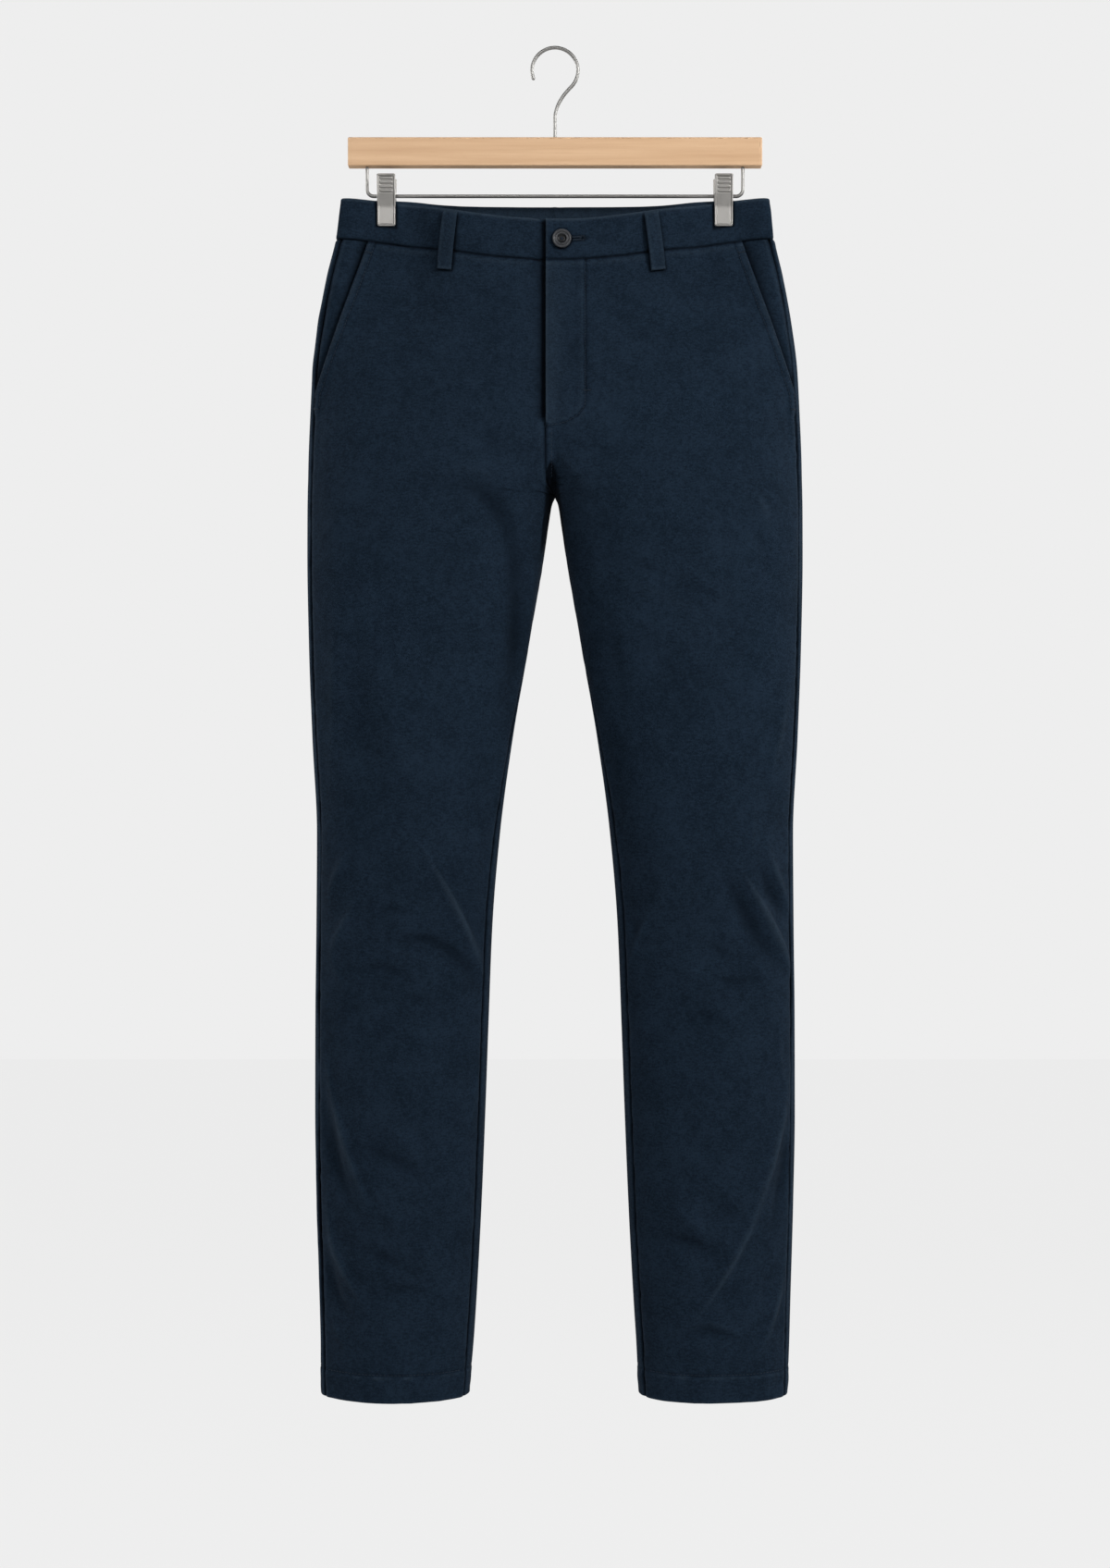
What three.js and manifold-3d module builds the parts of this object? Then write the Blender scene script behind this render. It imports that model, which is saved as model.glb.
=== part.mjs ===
// Cotton twill trousers, hung by the waist from a wooden clip hanger.
// Millimetres, +Z up. The front faces -Y and the wearer's left is +X. The origin is the highest
// point inside the hook's crook, where a rail carries the hanger.
import * as THREE from 'three';
import { mergeVertices } from 'three/addons/utils/BufferGeometryUtils.js';
import Module from 'manifold-3d';

const wasm = await Module();
wasm.setup();

// Heights and cloth
const waistSideZ = -134.4; // top of the waistband at the side folds
const bandHeight = 37;
const frontSag = 21.6; // how far the front of the waist dips below its sides
const backSag = 4;
const crotchDrop = 268; // below the top of the waistband at the side
const hemDrop = 1070;
const hemDepth = 25;
const seamGap = 0.3;
const clothWall = 1.5;
const hemWall = 2.6; // the turned-up hem lies double
const bandWall = 3; // folded band with its stiffener
const bandTuck = 3.4; // how deep the right end of the band lies under the left one
const sideSeamInset = 4.5; // the side seam lies this far in from the edge, on the front
const inseamInset = 4;

// Fly and slant pockets
const lapEdge = -8.3; // x of the edge where the left front laps over the right
const flyBottomDrop = 199;
const underlapEdge = -4.5; // the right front ends under the lap
const underlapDepth = 1.9;
const tuckStops = [24, 11]; // from the centre, where the right front starts to sink and is down
const shieldDepth = 3.75;
const shieldEdges = { right: -14, left: 34 };
const shieldBottomDrop = 206;
const zipDepth = 2;
const zipWall = 1.2;
const zipEdges = { right: -2.5, left: 24 };
const zipBottomDrop = 190;
const pocketTopX = 165;
const pocketBottomDrop = 178;
const facingDepth = 1.9;
const facingClear = 5; // how far past the pocket's edge the facing starts to rise

// Clips, bar, rod and hook
const clipX = 151;
const clipWidth = 16.6;
const pinchedHalf = 3.5; // half the thickness of the waist where a clip bites
const barSize = { length: 371, depth: 12, height: 25.7, corner: 2.5 };
const barTopZ = -80;
const barHoleDepth = 12;
const wireRadius = 1.6;
const rodX = 168.5;
const rodZ = -131.8;
const rodBend = 6;
const hookRadius = 19; // inside the crook
const holeClearance = 0.3;

// Button and belt loops
const button = { x: 6, drop: 18.8, radius: 8.5, rim: 1.5, thickness: 3.2 };
const loopSize = { width: 12.5, wall: 1.8, below: 16, bow: 2.4, clear: 0.4 };
const loops = [
  { name: 'belt_loop_front_left', face: 1, side: 1, topX: 85, bottomX: 91.5 },
  { name: 'belt_loop_front_right', face: 1, side: -1, topX: 92.5, bottomX: 98 },
  { name: 'belt_loop_back_left', face: -1, side: 1, topX: 96, bottomX: 99 },
  { name: 'belt_loop_back_right', face: -1, side: -1, topX: 96, bottomX: 99 },
  { name: 'belt_loop_centre_back', face: -1, side: 1, topX: 0, bottomX: 0 },
];

// One row a level. outer and inner are the two edges of one leg, from the centre plane; inner is
// negative above the crotch, where the rounds of both legs run into one. front and back are half
// depths. roundOut and roundIn say how square the two ends of the section are: 2 is an ellipse.
const levels = [
  { drop: 0, outer: 191.8, inner: -191.8, front: 20, back: 18, roundOut: 3, roundIn: 2 },
  { drop: 37, outer: 196.6, inner: -196.6, front: 22, back: 21, roundOut: 2.7, roundIn: 2 },
  { drop: 70, outer: 204.4, inner: -204.4, front: 29, back: 30, roundOut: 2.4, roundIn: 2 },
  { drop: 112, outer: 212.1, inner: -192, front: 38, back: 42, roundOut: 2.2, roundIn: 2 },
  { drop: 153, outer: 217.3, inner: -150, front: 46, back: 53, roundOut: 2.1, roundIn: 2.1 },
  { drop: 195, outer: 219.5, inner: -87, front: 53, back: 61, roundOut: 2, roundIn: 2.3 },
  { drop: 236, outer: 221.1, inner: -31, front: 57, back: 65, roundOut: 2, roundIn: 2.6 },
  { drop: 252, outer: 221.4, inner: -13, front: 58, back: 65, roundOut: 2, roundIn: 2.7 },
  { drop: 262, outer: 221.7, inner: -3.6, front: 58, back: 64, roundOut: 2, roundIn: 2.7 },
  { drop: 268, outer: 221.8, inner: 0.2, front: 58, back: 63, roundOut: 2, roundIn: 2.6 },
  { drop: 273, outer: 221.9, inner: 2.4, front: 58, back: 62, roundOut: 2, roundIn: 2.6 },
  { drop: 283, outer: 222, inner: 4.4, front: 58, back: 61, roundOut: 2, roundIn: 2.5 },
  { drop: 319, outer: 222.1, inner: 9.6, front: 57, back: 60, roundOut: 2, roundIn: 2.4 },
  { drop: 402, outer: 220.6, inner: 23.9, front: 54, back: 56, roundOut: 2, roundIn: 2.2 },
  { drop: 485, outer: 217.5, inner: 38.1, front: 51, back: 52, roundOut: 2, roundIn: 2.1 },
  { drop: 568, outer: 213.5, inner: 49.2, front: 49, back: 49, roundOut: 2, roundIn: 2 },
  { drop: 651, outer: 214, inner: 56.1, front: 47, back: 47, roundOut: 2, roundIn: 2 },
  { drop: 734, outer: 214.9, inner: 59.4, front: 46, back: 46, roundOut: 2, roundIn: 2 },
  { drop: 817, outer: 215.1, inner: 62.4, front: 45, back: 45, roundOut: 2, roundIn: 2 },
  { drop: 900, outer: 213.6, inner: 65.8, front: 44, back: 44, roundOut: 2, roundIn: 2 },
  { drop: 983, outer: 211.2, inner: 70.2, front: 43.5, back: 43.5, roundOut: 2, roundIn: 2 },
  { drop: 1058, outer: 209, inner: 75.2, front: 43.5, back: 43.5, roundOut: 2, roundIn: 2 },
  { drop: 1070, outer: 208.3, inner: 76, front: 43.3, back: 43.3, roundOut: 2, roundIn: 2 },
];

// The front seam below the waist follows the lap's edge, then eases to the centre at the crotch.
const frontSeam = [
  { drop: 0, x: lapEdge },
  { drop: flyBottomDrop, x: lapEdge },
  { drop: 225, x: -5.5 },
  { drop: 238, x: -2 },
  { drop: 250, x: 0 },
];

// Soft folds pressed into a leg. along and across are half widths, turn is the slope of the fold
// in degrees from level, and height is out from the leg, negative for a trough.
const folds = [
  { side: -1, x: 115, drop: 700, along: 34, across: 16, turn: -4, height: -2.2 },
  { side: -1, x: 92, drop: 672, along: 34, across: 13, turn: -62, height: 1.8 },
  { side: -1, x: 190, drop: 846, along: 52, across: 17, turn: 62, height: 2 },
  { side: -1, x: 150, drop: 905, along: 50, across: 18, turn: -28, height: -1.8 },
  { side: 1, x: 178, drop: 668, along: 42, across: 14, turn: -62, height: 2 },
  { side: 1, x: 142, drop: 745, along: 34, across: 16, turn: 8, height: -2 },
  { side: 1, x: 192, drop: 862, along: 62, across: 16, turn: 68, height: 2.2 },
  { side: 1, x: 140, drop: 925, along: 42, across: 18, turn: 14, height: -1.8 },
];

const finishes = {
  cloth: new THREE.MeshStandardMaterial({ color: 0x1b2733, roughness: 0.95, metalness: 0 }),
  button: new THREE.MeshStandardMaterial({ color: 0x2f3338, roughness: 0.4, metalness: 0 }),
  wood: new THREE.MeshStandardMaterial({ color: 0xdab790, roughness: 0.6, metalness: 0 }),
  steel: new THREE.MeshStandardMaterial({ color: 0xa8a7a3, roughness: 0.35, metalness: 1 }),
};

const trousersOnHanger = new THREE.Group();

function smooth(t) {
  const u = Math.min(1, Math.max(0, t));
  return u * u * (3 - 2 * u);
}

// A smooth curve through one column of a table, with no overshoot between its rows.
function sample(rows, column, drop) {
  const last = rows.length - 1;
  if (drop <= rows[0].drop) return rows[0][column];
  if (drop >= rows[last].drop) return rows[last][column];
  const slope = (i) => (rows[i + 1][column] - rows[i][column]) / (rows[i + 1].drop - rows[i].drop);
  const tangent = (i) => {
    if (i === 0) return slope(0);
    if (i === last) return slope(last - 1);
    const product = slope(i - 1) * slope(i);
    return product > 0 ? (2 * product) / (slope(i - 1) + slope(i)) : 0;
  };
  const k = rows.findIndex((row, i) => i < last && drop <= rows[i + 1].drop);
  const span = rows[k + 1].drop - rows[k].drop;
  const t = (drop - rows[k].drop) / span;
  const blend = t * t * (3 - 2 * t);
  const start = t * (1 - t) * (1 - t) * span * tangent(k);
  const end = t * t * (t - 1) * span * tangent(k + 1);
  return rows[k][column] * (1 - blend) + rows[k + 1][column] * blend + start + end;
}

function levelAt(drop) {
  const level = { drop };
  for (const column of Object.keys(levels[0])) {
    if (column !== 'drop') level[column] = sample(levels, column, drop);
  }
  level.middle = (level.outer + level.inner) / 2;
  level.half = (level.outer - level.inner) / 2;
  return level;
}

// The turn round a section where it crosses x: 0 at the outer edge, a quarter turn at the middle.
function turnAt(level, x) {
  const t = Math.min(1, Math.max(-1, (x - level.middle) / level.half));
  const round = t < 0 ? level.roundIn : level.roundOut;
  return Math.acos(Math.sign(t) * Math.abs(t) ** (round / 2));
}

// One leg's section. Turns above 0 are on the front and below 0 on the back. Above the crotch a
// turn past the centre plane runs on over the other leg.
function sectionPoint(level, turn) {
  const joined = level.drop < crotchDrop;
  const wrapped = joined ? turn : Math.atan2(Math.sin(turn), Math.cos(turn));
  const face = wrapped < 0 ? -1 : 1;
  const centre = joined ? turnAt(level, 0) : Math.PI;
  const past = Math.abs(wrapped) > centre;
  const used = past ? 2 * centre - Math.abs(wrapped) : Math.abs(wrapped);
  const power = 2 / (Math.cos(used) < 0 ? level.roundIn : level.roundOut);
  const reach = Math.sign(Math.cos(used)) * Math.abs(Math.cos(used)) ** power;
  const x = level.middle + level.half * reach;
  const depth = (face > 0 ? level.front : level.back) * Math.abs(Math.sin(used)) ** power;
  return { x: past ? -x : x, depth, face };
}

function foldLift(side, x, drop) {
  let lift = 0;
  for (const fold of folds.filter((entry) => entry.side === side)) {
    const turn = THREE.MathUtils.degToRad(fold.turn);
    const right = x - fold.x;
    const up = fold.drop - drop;
    const along = (right * Math.cos(turn) + up * Math.sin(turn)) / fold.along;
    const across = (up * Math.cos(turn) - right * Math.sin(turn)) / fold.across;
    lift += fold.height * Math.exp(-along * along - across * across);
  }
  return lift;
}

// A point on the outside of the cloth. side is 1 on the wearer's left and -1 on the right.
function clothPoint(side, drop, turn) {
  const level = levelAt(drop);
  const { x, depth, face } = sectionPoint(level, turn);
  const fromClip = Math.max(0, Math.abs(Math.abs(x) - clipX) - 13) / 20;
  const pinch = Math.exp(-fromClip * fromClip) * (1 - smooth((drop - 30) / 110));
  const pinched = depth * (1 - pinch) + Math.min(depth, pinchedHalf) * pinch;
  const creased = face > 0 ? pinched + foldLift(side, x, drop) * smooth(depth / 25) : pinched;
  const inward = 1 - (x / level.outer) ** 2;
  const sag = face > 0 ? frontSag * inward * inward : backSag * inward;
  const z = waistSideZ - drop - sag * (1 - smooth((drop - bandHeight) / (crotchDrop - bandHeight)));
  return new THREE.Vector3(side * x, -face * creased, z);
}

// The outward direction of the cloth, from four near points.
function clothNormal(side, drop, turn) {
  const turnStep = 0.004;
  const dropStep = 0.5;
  const across = clothPoint(side, drop, turn + turnStep).sub(clothPoint(side, drop, turn - turnStep));
  const down = clothPoint(side, drop + dropStep, turn).sub(clothPoint(side, drop - dropStep, turn));
  return across.cross(down).multiplyScalar(side).normalize();
}

// The turn that lies a short distance along the section from another one.
function turnAlong(side, drop, turn, distance) {
  const start = clothPoint(side, drop, turn);
  let near = 0;
  let far = 0.2 * Math.sign(distance);
  for (let step = 0; step < 24; step += 1) {
    const middle = (near + far) / 2;
    if (clothPoint(side, drop, turn + middle).distanceTo(start) < Math.abs(distance)) near = middle;
    else far = middle;
  }
  return turn + near;
}

function signedVolume(positions, triangles) {
  const corner = (index) => new THREE.Vector3().fromArray(positions, index * 3);
  let volume = 0;
  for (let i = 0; i < triangles.length; i += 3) {
    const [a, b, c] = [triangles[i], triangles[i + 1], triangles[i + 2]].map(corner);
    volume += a.dot(b.cross(c)) / 6;
  }
  return volume;
}

// A closed geometry whose faces point out.
function closedGeometry(positions, triangles) {
  const facing = signedVolume(positions, triangles) < 0 ? triangles.toReversed() : triangles;
  const geometry = new THREE.BufferGeometry();
  geometry.setAttribute('position', new THREE.Float32BufferAttribute(positions, 3));
  geometry.setIndex([...facing]);
  geometry.computeVertexNormals();
  return geometry;
}

function addMesh(name, geometry, finish) {
  const mesh = new THREE.Mesh(geometry, finish.clone());
  mesh.name = name;
  trousersOnHanger.add(mesh);
  return mesh;
}

// A wall between two grids of points, closed by a rim round its edge.
function wallGeometry(outside, inside) {
  const columns = outside[0].length;
  const rows = outside.length;
  const positions = [...outside.flat(), ...inside.flat()].flatMap((point) => point.toArray());
  const triangles = [];
  const inner = rows * columns;
  const quad = (a, b, c, d) => triangles.push(a, b, c, b, d, c);
  for (let row = 0; row < rows - 1; row += 1) {
    for (let column = 0; column < columns - 1; column += 1) {
      const a = row * columns + column;
      const c = a + columns;
      quad(a, a + 1, c, c + 1);
      triangles.push(inner + a, inner + c, inner + a + 1);
      triangles.push(inner + a + 1, inner + c, inner + c + 1);
    }
    const left = row * columns;
    const right = left + columns - 1;
    quad(left, left + columns, inner + left, inner + left + columns);
    quad(right + columns, right, inner + right + columns, inner + right);
  }
  for (let column = 0; column < columns - 1; column += 1) {
    const bottom = (rows - 1) * columns + column;
    quad(column + 1, column, inner + column + 1, inner + column);
    quad(bottom, bottom + 1, inner + bottom, inner + bottom + 1);
  }
  return closedGeometry(positions, triangles);
}

// A piece of cloth: rows at the given drops, each with the turns that turnsAt gives. lift moves the
// piece out from the outside of the trousers, and wall is its thickness.
function addCloth(name, side, drops, turnsAt, { lift = () => 0, wall = () => clothWall } = {}) {
  const outside = [];
  const inside = [];
  for (const drop of drops) {
    const outsideRow = [];
    const insideRow = [];
    for (const turn of turnsAt(drop)) {
      const point = clothPoint(side, drop, turn);
      const normal = clothNormal(side, drop, turn);
      const x = side * point.x;
      const out = lift(drop, x, turn);
      outsideRow.push(point.clone().addScaledVector(normal, out));
      insideRow.push(point.clone().addScaledVector(normal, out - wall(drop, x)));
    }
    outside.push(outsideRow);
    inside.push(insideRow);
  }
  return addMesh(name, wallGeometry(outside, inside), finishes.cloth);
}

function evenSteps(start, end, count) {
  return Array.from({ length: count }, (_, i) => start + ((end - start) * i) / (count - 1));
}

function sideSeamTurn(level) {
  return turnAt(level, level.outer - sideSeamInset);
}

// The inseam starts at the crotch point and comes round to the front of the leg by the knee.
function inseamTurn(level) {
  return turnAt(level, level.inner + inseamInset * smooth((level.drop - crotchDrop - 120) / 260));
}

function pocketEdgeX(drop) {
  const bottom = levelAt(pocketBottomDrop);
  const t = (drop - bandHeight) / (pocketBottomDrop - bandHeight);
  return pocketTopX + (bottom.outer - sideSeamInset - pocketTopX) * t;
}

// The turn at the front for an x that may lie past the centre plane.
function frontTurnAt(level, x) {
  return x < 0 ? 2 * turnAt(level, 0) - turnAt(level, -x) : turnAt(level, x);
}

const panelDrops = [
  bandHeight + seamGap / 2, 54, 74, 98, 126, 152, pocketBottomDrop, 190, flyBottomDrop,
  212, 225, 238, 250, 260, crotchDrop, 275, 290, 319, 360, 402, 444, 485, 530, 575, 615,
  645, 672, 700, 730, 765, 800, 835, 870, 905, 945, 990, hemDrop - hemDepth, hemDrop,
];
const panelWall = (drop) => (drop >= hemDrop - hemDepth ? hemWall : clothWall);

function frontCentreTurn(side, drop) {
  const level = levelAt(drop);
  if (drop >= crotchDrop) return turnAlong(side, drop, inseamTurn(level), -seamGap / 2);
  const seam = sample(frontSeam, 'x', drop);
  if (side > 0) return frontTurnAt(level, seam + seamGap / 2);
  const tuck = 1 - smooth((drop - zipBottomDrop) / (flyBottomDrop + 6 - zipBottomDrop));
  return frontTurnAt(level, -seam + seamGap / 2 + (lapEdge - underlapEdge) * tuck);
}

function frontSideTurn(side, drop) {
  const level = levelAt(drop);
  if (drop < pocketBottomDrop) return turnAt(level, pocketEdgeX(drop));
  return turnAlong(side, drop, sideSeamTurn(level), seamGap / 2);
}

// How far the right front sinks to pass under the lap of the left one.
function underlapSink(drop, x) {
  const [start, down] = tuckStops;
  const fade = 1 - smooth((drop - flyBottomDrop - 6) / 25);
  return (1 - smooth((x - down) / (start - down))) * fade;
}

// Eleven lines run down the front. Beside the fly, two of them keep to the edges of the tuck.
function frontTurns(side, drop) {
  const start = frontSideTurn(side, drop);
  const end = frontCentreTurn(side, drop);
  if (drop > flyBottomDrop + 30) return evenSteps(start, end, 11);
  const level = levelAt(drop);
  const [outerTuck, innerTuck] = tuckStops.map((x) => frontTurnAt(level, x));
  return [...evenSteps(start, outerTuck, 9), innerTuck, end];
}

function addFront(name, side) {
  const lift = (drop, x) => (side < 0 ? -underlapDepth * underlapSink(drop, x) : 0);
  addCloth(name, side, panelDrops, (drop) => frontTurns(side, drop), { lift, wall: panelWall });
}

function addBack(name, side) {
  const turnsAt = (drop) => {
    const level = levelAt(drop);
    const seam = turnAlong(side, drop, sideSeamTurn(level), -seamGap / 2);
    const joined = drop < crotchDrop;
    const inseam = joined ? 0 : turnAlong(side, drop, inseamTurn(level), seamGap / 2) - 2 * Math.PI;
    return evenSteps(seam, joined ? -turnAt(level, seamGap / 2) : inseam, 13);
  };
  addCloth(name, side, panelDrops, turnsAt, { wall: panelWall });
}

// The facing shows between the pocket's edge and the side seam, and runs on under the front.
function addPocketFacing(name, side) {
  const turnsAt = (drop) => {
    const level = levelAt(drop);
    const seam = turnAlong(side, drop, sideSeamTurn(level), seamGap / 2);
    const clear = Math.max(seam, turnAt(level, pocketEdgeX(drop) + facingClear));
    return [seam, (seam + clear) / 2, clear, ...frontTurns(side, drop).slice(0, 3)];
  };
  const rise = (drop, x) => smooth((x - pocketEdgeX(drop) - facingClear) / 12);
  const lift = (drop, x) => -facingDepth * (1 - rise(drop, x));
  const drops = panelDrops.filter((drop) => drop <= 190);
  addCloth(name, side, drops, turnsAt, { lift });
}

// Fractions of the half width that keep flat stretches of the band under the clips.
const bandStops = [0.985, 0.955, 0.91, 0.86, 0.79, 0.72, 0.66, 0.58, 0.46, 0.32, 0.17];

function addWaistband(name, side, frontEnd, frontLift) {
  const turnsAt = (drop) => {
    const level = levelAt(drop);
    const stops = bandStops.map((stop) => turnAt(level, stop * level.outer));
    const back = -turnAt(level, seamGap / 2);
    const front = frontEnd.map((x) => frontTurnAt(level, x));
    return [back, ...stops.map((stop) => -stop).reverse(), 0, ...stops, ...front];
  };
  const drops = [0, bandHeight / 2, bandHeight - seamGap / 2];
  const lift = (drop, x, turn) => (turn > 0 ? frontLift(x) : 0);
  addCloth(name, side, drops, turnsAt, { lift, wall: () => bandWall });
}

// Layers of the fly behind the lap, drawn on the right side's section and run past the centre.
function addFlyLayer(name, edges, drops, depth, wall) {
  const turnsAt = (drop) => {
    const level = levelAt(drop);
    return evenSteps(frontTurnAt(level, -edges.right), frontTurnAt(level, -edges.left), 5);
  };
  addCloth(name, -1, drops, turnsAt, { lift: () => -depth, wall: () => wall });
}

// A loop lies from the band's top edge to just below its seam and stands clear in the middle.
function addBeltLoop({ name, face, side, topX, bottomX }) {
  const length = bandHeight + loopSize.below;
  const half = loopSize.width / 2;
  const turnsAt = (drop) => {
    const level = levelAt(drop);
    const middle = topX + ((bottomX - topX) * drop) / length;
    return [middle + half, middle, middle - half].map((x) => face * frontTurnAt(level, x));
  };
  const stand = (drop) => loopSize.clear + loopSize.bow * Math.sin((Math.PI * drop) / length) ** 0.6;
  const lift = (drop) => stand(drop) + loopSize.wall;
  addCloth(name, side, evenSteps(0.2, length, 9), turnsAt, { lift, wall: () => loopSize.wall });
}

function addTrousers() {
  addFront('front_left', 1);
  addFront('front_right', -1);
  addBack('back_left', 1);
  addBack('back_right', -1);
  addPocketFacing('pocket_facing_left', 1);
  addPocketFacing('pocket_facing_right', -1);
  addWaistband('waistband_left', 1, [0, lapEdge], () => 0);
  const [start, down] = tuckStops;
  const tuckedEnd = [start, down, 0, -down, -shieldEdges.left];
  const tuck = (x) => -bandTuck * (1 - smooth((x - down) / (start - down)));
  addWaistband('waistband_right', -1, tuckedEnd, tuck);
  const flyDrops = panelDrops.filter((drop) => drop > 40 && drop < flyBottomDrop);
  const flyTop = bandHeight + seamGap;
  const shieldDrops = [flyTop, ...flyDrops, shieldBottomDrop];
  addFlyLayer('fly_shield', shieldEdges, shieldDrops, shieldDepth, clothWall);
  const zipDrops = [flyTop, ...flyDrops.filter((drop) => drop < zipBottomDrop), zipBottomDrop];
  addFlyLayer('fly_zip', zipEdges, zipDrops, zipDepth, zipWall);
  loops.forEach(addBeltLoop);
}

// A round button with a raised rim and a sunk middle, lying on the band.
function addButton() {
  const { radius, rim, thickness } = button;
  const profile = [
    [0, 0], [radius - 1.2, 0], [radius, 1], [radius, thickness - 0.8], [radius - 0.7, thickness],
    [radius - rim, thickness - 0.3], [radius - rim - 1, thickness - 1.1],
    [radius * 0.42, thickness - 0.9], [radius * 0.3, thickness - 1.7], [0, thickness - 1.8],
  ].map(([across, out]) => new THREE.Vector2(across, out));
  const lathe = new THREE.LatheGeometry(profile, 28);
  const turn = frontTurnAt(levelAt(button.drop), button.x);
  const normal = clothNormal(1, button.drop, turn);
  const seat = clothPoint(1, button.drop, turn).addScaledVector(normal, seamGap);
  const mesh = addMesh('waist_button', lathe, finishes.button);
  mesh.quaternion.setFromUnitVectors(new THREE.Vector3(0, 1, 0), normal);
  mesh.position.copy(seat);
}

// Turns a closed three.js geometry into a solid that can be cut or joined.
function toSolid(geometry) {
  const bare = geometry.clone();
  bare.deleteAttribute('normal');
  bare.deleteAttribute('uv');
  const merged = mergeVertices(bare, 1e-4);
  const mesh = new wasm.Mesh({
    numProp: 3,
    vertProperties: merged.attributes.position.array,
    triVerts: new Uint32Array(merged.index.array),
  });
  return new wasm.Manifold(mesh);
}

function toGeometry(solid) {
  const mesh = solid.getMesh();
  const geometry = new THREE.BufferGeometry();
  geometry.setAttribute('position', new THREE.BufferAttribute(mesh.vertProperties, 3));
  geometry.setIndex(new THREE.BufferAttribute(mesh.triVerts, 1));
  geometry.computeVertexNormals();
  return geometry;
}

// The bar is a plank with clipped corners, drilled for the hook and for both ends of the rod.
function addBar() {
  const { length, depth, height, corner } = barSize;
  const x = length / 2;
  const outline = new THREE.Shape([
    new THREE.Vector2(-x + corner, 0), new THREE.Vector2(x - corner, 0),
    new THREE.Vector2(x, corner), new THREE.Vector2(x, height - corner),
    new THREE.Vector2(x - corner, height), new THREE.Vector2(-x + corner, height),
    new THREE.Vector2(-x, height - corner), new THREE.Vector2(-x, corner),
  ]);
  const plank = new THREE.ExtrudeGeometry(outline, { depth, bevelEnabled: false });
  plank.rotateX(Math.PI / 2);
  plank.translate(0, depth / 2, barTopZ - height);
  const holes = [
    { x: 0, z: barTopZ },
    { x: rodX, z: barTopZ - height },
    { x: -rodX, z: barTopZ - height },
  ];
  let solid = toSolid(plank);
  for (const hole of holes) {
    const drill = new THREE.CylinderGeometry(
      wireRadius + holeClearance, wireRadius + holeClearance, 2 * barHoleDepth, 12);
    drill.rotateX(Math.PI / 2);
    drill.translate(hole.x, 0, hole.z);
    solid = solid.subtract(toSolid(drill));
  }
  addMesh('hanger_bar', toGeometry(solid), finishes.wood);
}

// Round wire along points [x, z] in the plane y = 0.
function addWire(name, route) {
  const sides = 10;
  const positions = [];
  const triangles = [];
  route.forEach(([x, z], k) => {
    const before = route[Math.max(0, k - 1)];
    const after = route[Math.min(route.length - 1, k + 1)];
    const along = new THREE.Vector2(after[0] - before[0], after[1] - before[1]).normalize();
    for (let side = 0; side < sides; side += 1) {
      const turn = (2 * Math.PI * side) / sides;
      const out = wireRadius * Math.cos(turn);
      positions.push(x - along.y * out, wireRadius * Math.sin(turn), z + along.x * out);
      const next = (side + 1) % sides;
      const a = k * sides + side;
      const b = k * sides + next;
      if (k > 0) triangles.push(a, b, a - sides, b, b - sides, a - sides);
    }
  });
  const last = (route.length - 1) * sides;
  for (let side = 1; side < sides - 1; side += 1) {
    triangles.push(0, side, side + 1, last, last + side + 1, last + side);
  }
  addMesh(name, closedGeometry(positions, triangles), finishes.steel);
}

function arcRoute(centreX, centreZ, radius, startDegrees, endDegrees, count) {
  return evenSteps(startDegrees, endDegrees, count).map((degrees) => {
    const turn = THREE.MathUtils.degToRad(degrees);
    return [centreX + radius * Math.cos(turn), centreZ + radius * Math.sin(turn)];
  });
}

// The shank rises from the bar, swings to one side and turns over into the crook.
function addHook() {
  const radius = hookRadius + wireRadius;
  const arc = arcRoute(0, -hookRadius, radius, -45, 200, 24);
  const [joinX, joinZ] = arc[0];
  const shankTop = new THREE.Vector2(0, joinZ - 2 * joinX);
  const corner = new THREE.Vector2(0, joinZ - joinX);
  const swing = new THREE.QuadraticBezierCurve(shankTop, corner, new THREE.Vector2(joinX, joinZ));
  const rise = swing.getPoints(6).slice(0, -1).map((point) => [point.x, point.y]);
  const shankFoot = barTopZ - barHoleDepth + holeClearance;
  addWire('hanger_hook', [[0, shankFoot], ...rise, ...arc]);
}

function addRod() {
  const top = barTopZ - barSize.height + barHoleDepth - holeClearance;
  const bendX = rodX - rodBend;
  const bendZ = rodZ + rodBend;
  const right = arcRoute(bendX, bendZ, rodBend, 0, -90, 6);
  const left = arcRoute(-bendX, bendZ, rodBend, -90, -180, 6);
  addWire('clip_rod', [[rodX, top], ...right, ...left, [-rodX, top]]);
}

// A jaw of pressed sheet: a plate down over the band, rolled side rails, finger ribs above and two
// ears round the rod. The back jaw is the front one turned round, with its ears set further in.
const jaw = {
  wall: 1.2, topZ: -111.5, tipZ: -159.7, topY: 9.6, waistY: 7.4, waistRise: 2, biteZ: -142,
  bite: 0.4, railWidth: 1.7, railHeight: 0.7, ribs: 5, ribHeight: 0.6, ribWidth: 1.5,
  earWall: 1, earRadius: 3.2, earRise: 7,
};

// A shape drawn in depth and height, made a solid of the given width about centreX.
function sheetSolid(shape, width, centreX) {
  const extruded = new THREE.ExtrudeGeometry(shape, { depth: width, bevelEnabled: false });
  extruded.rotateX(Math.PI / 2);
  extruded.rotateZ(Math.PI / 2);
  extruded.translate(centreX - width / 2, 0, 0);
  return toSolid(extruded);
}

// A strip that follows the line, between two distances in front of it.
function stripShape(line, near, far) {
  const front = line.map(([y, z]) => new THREE.Vector2(y - far, z));
  const rear = line.map(([y, z]) => new THREE.Vector2(y - near, z));
  return new THREE.Shape([...rear, ...front.reverse()]);
}

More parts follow.
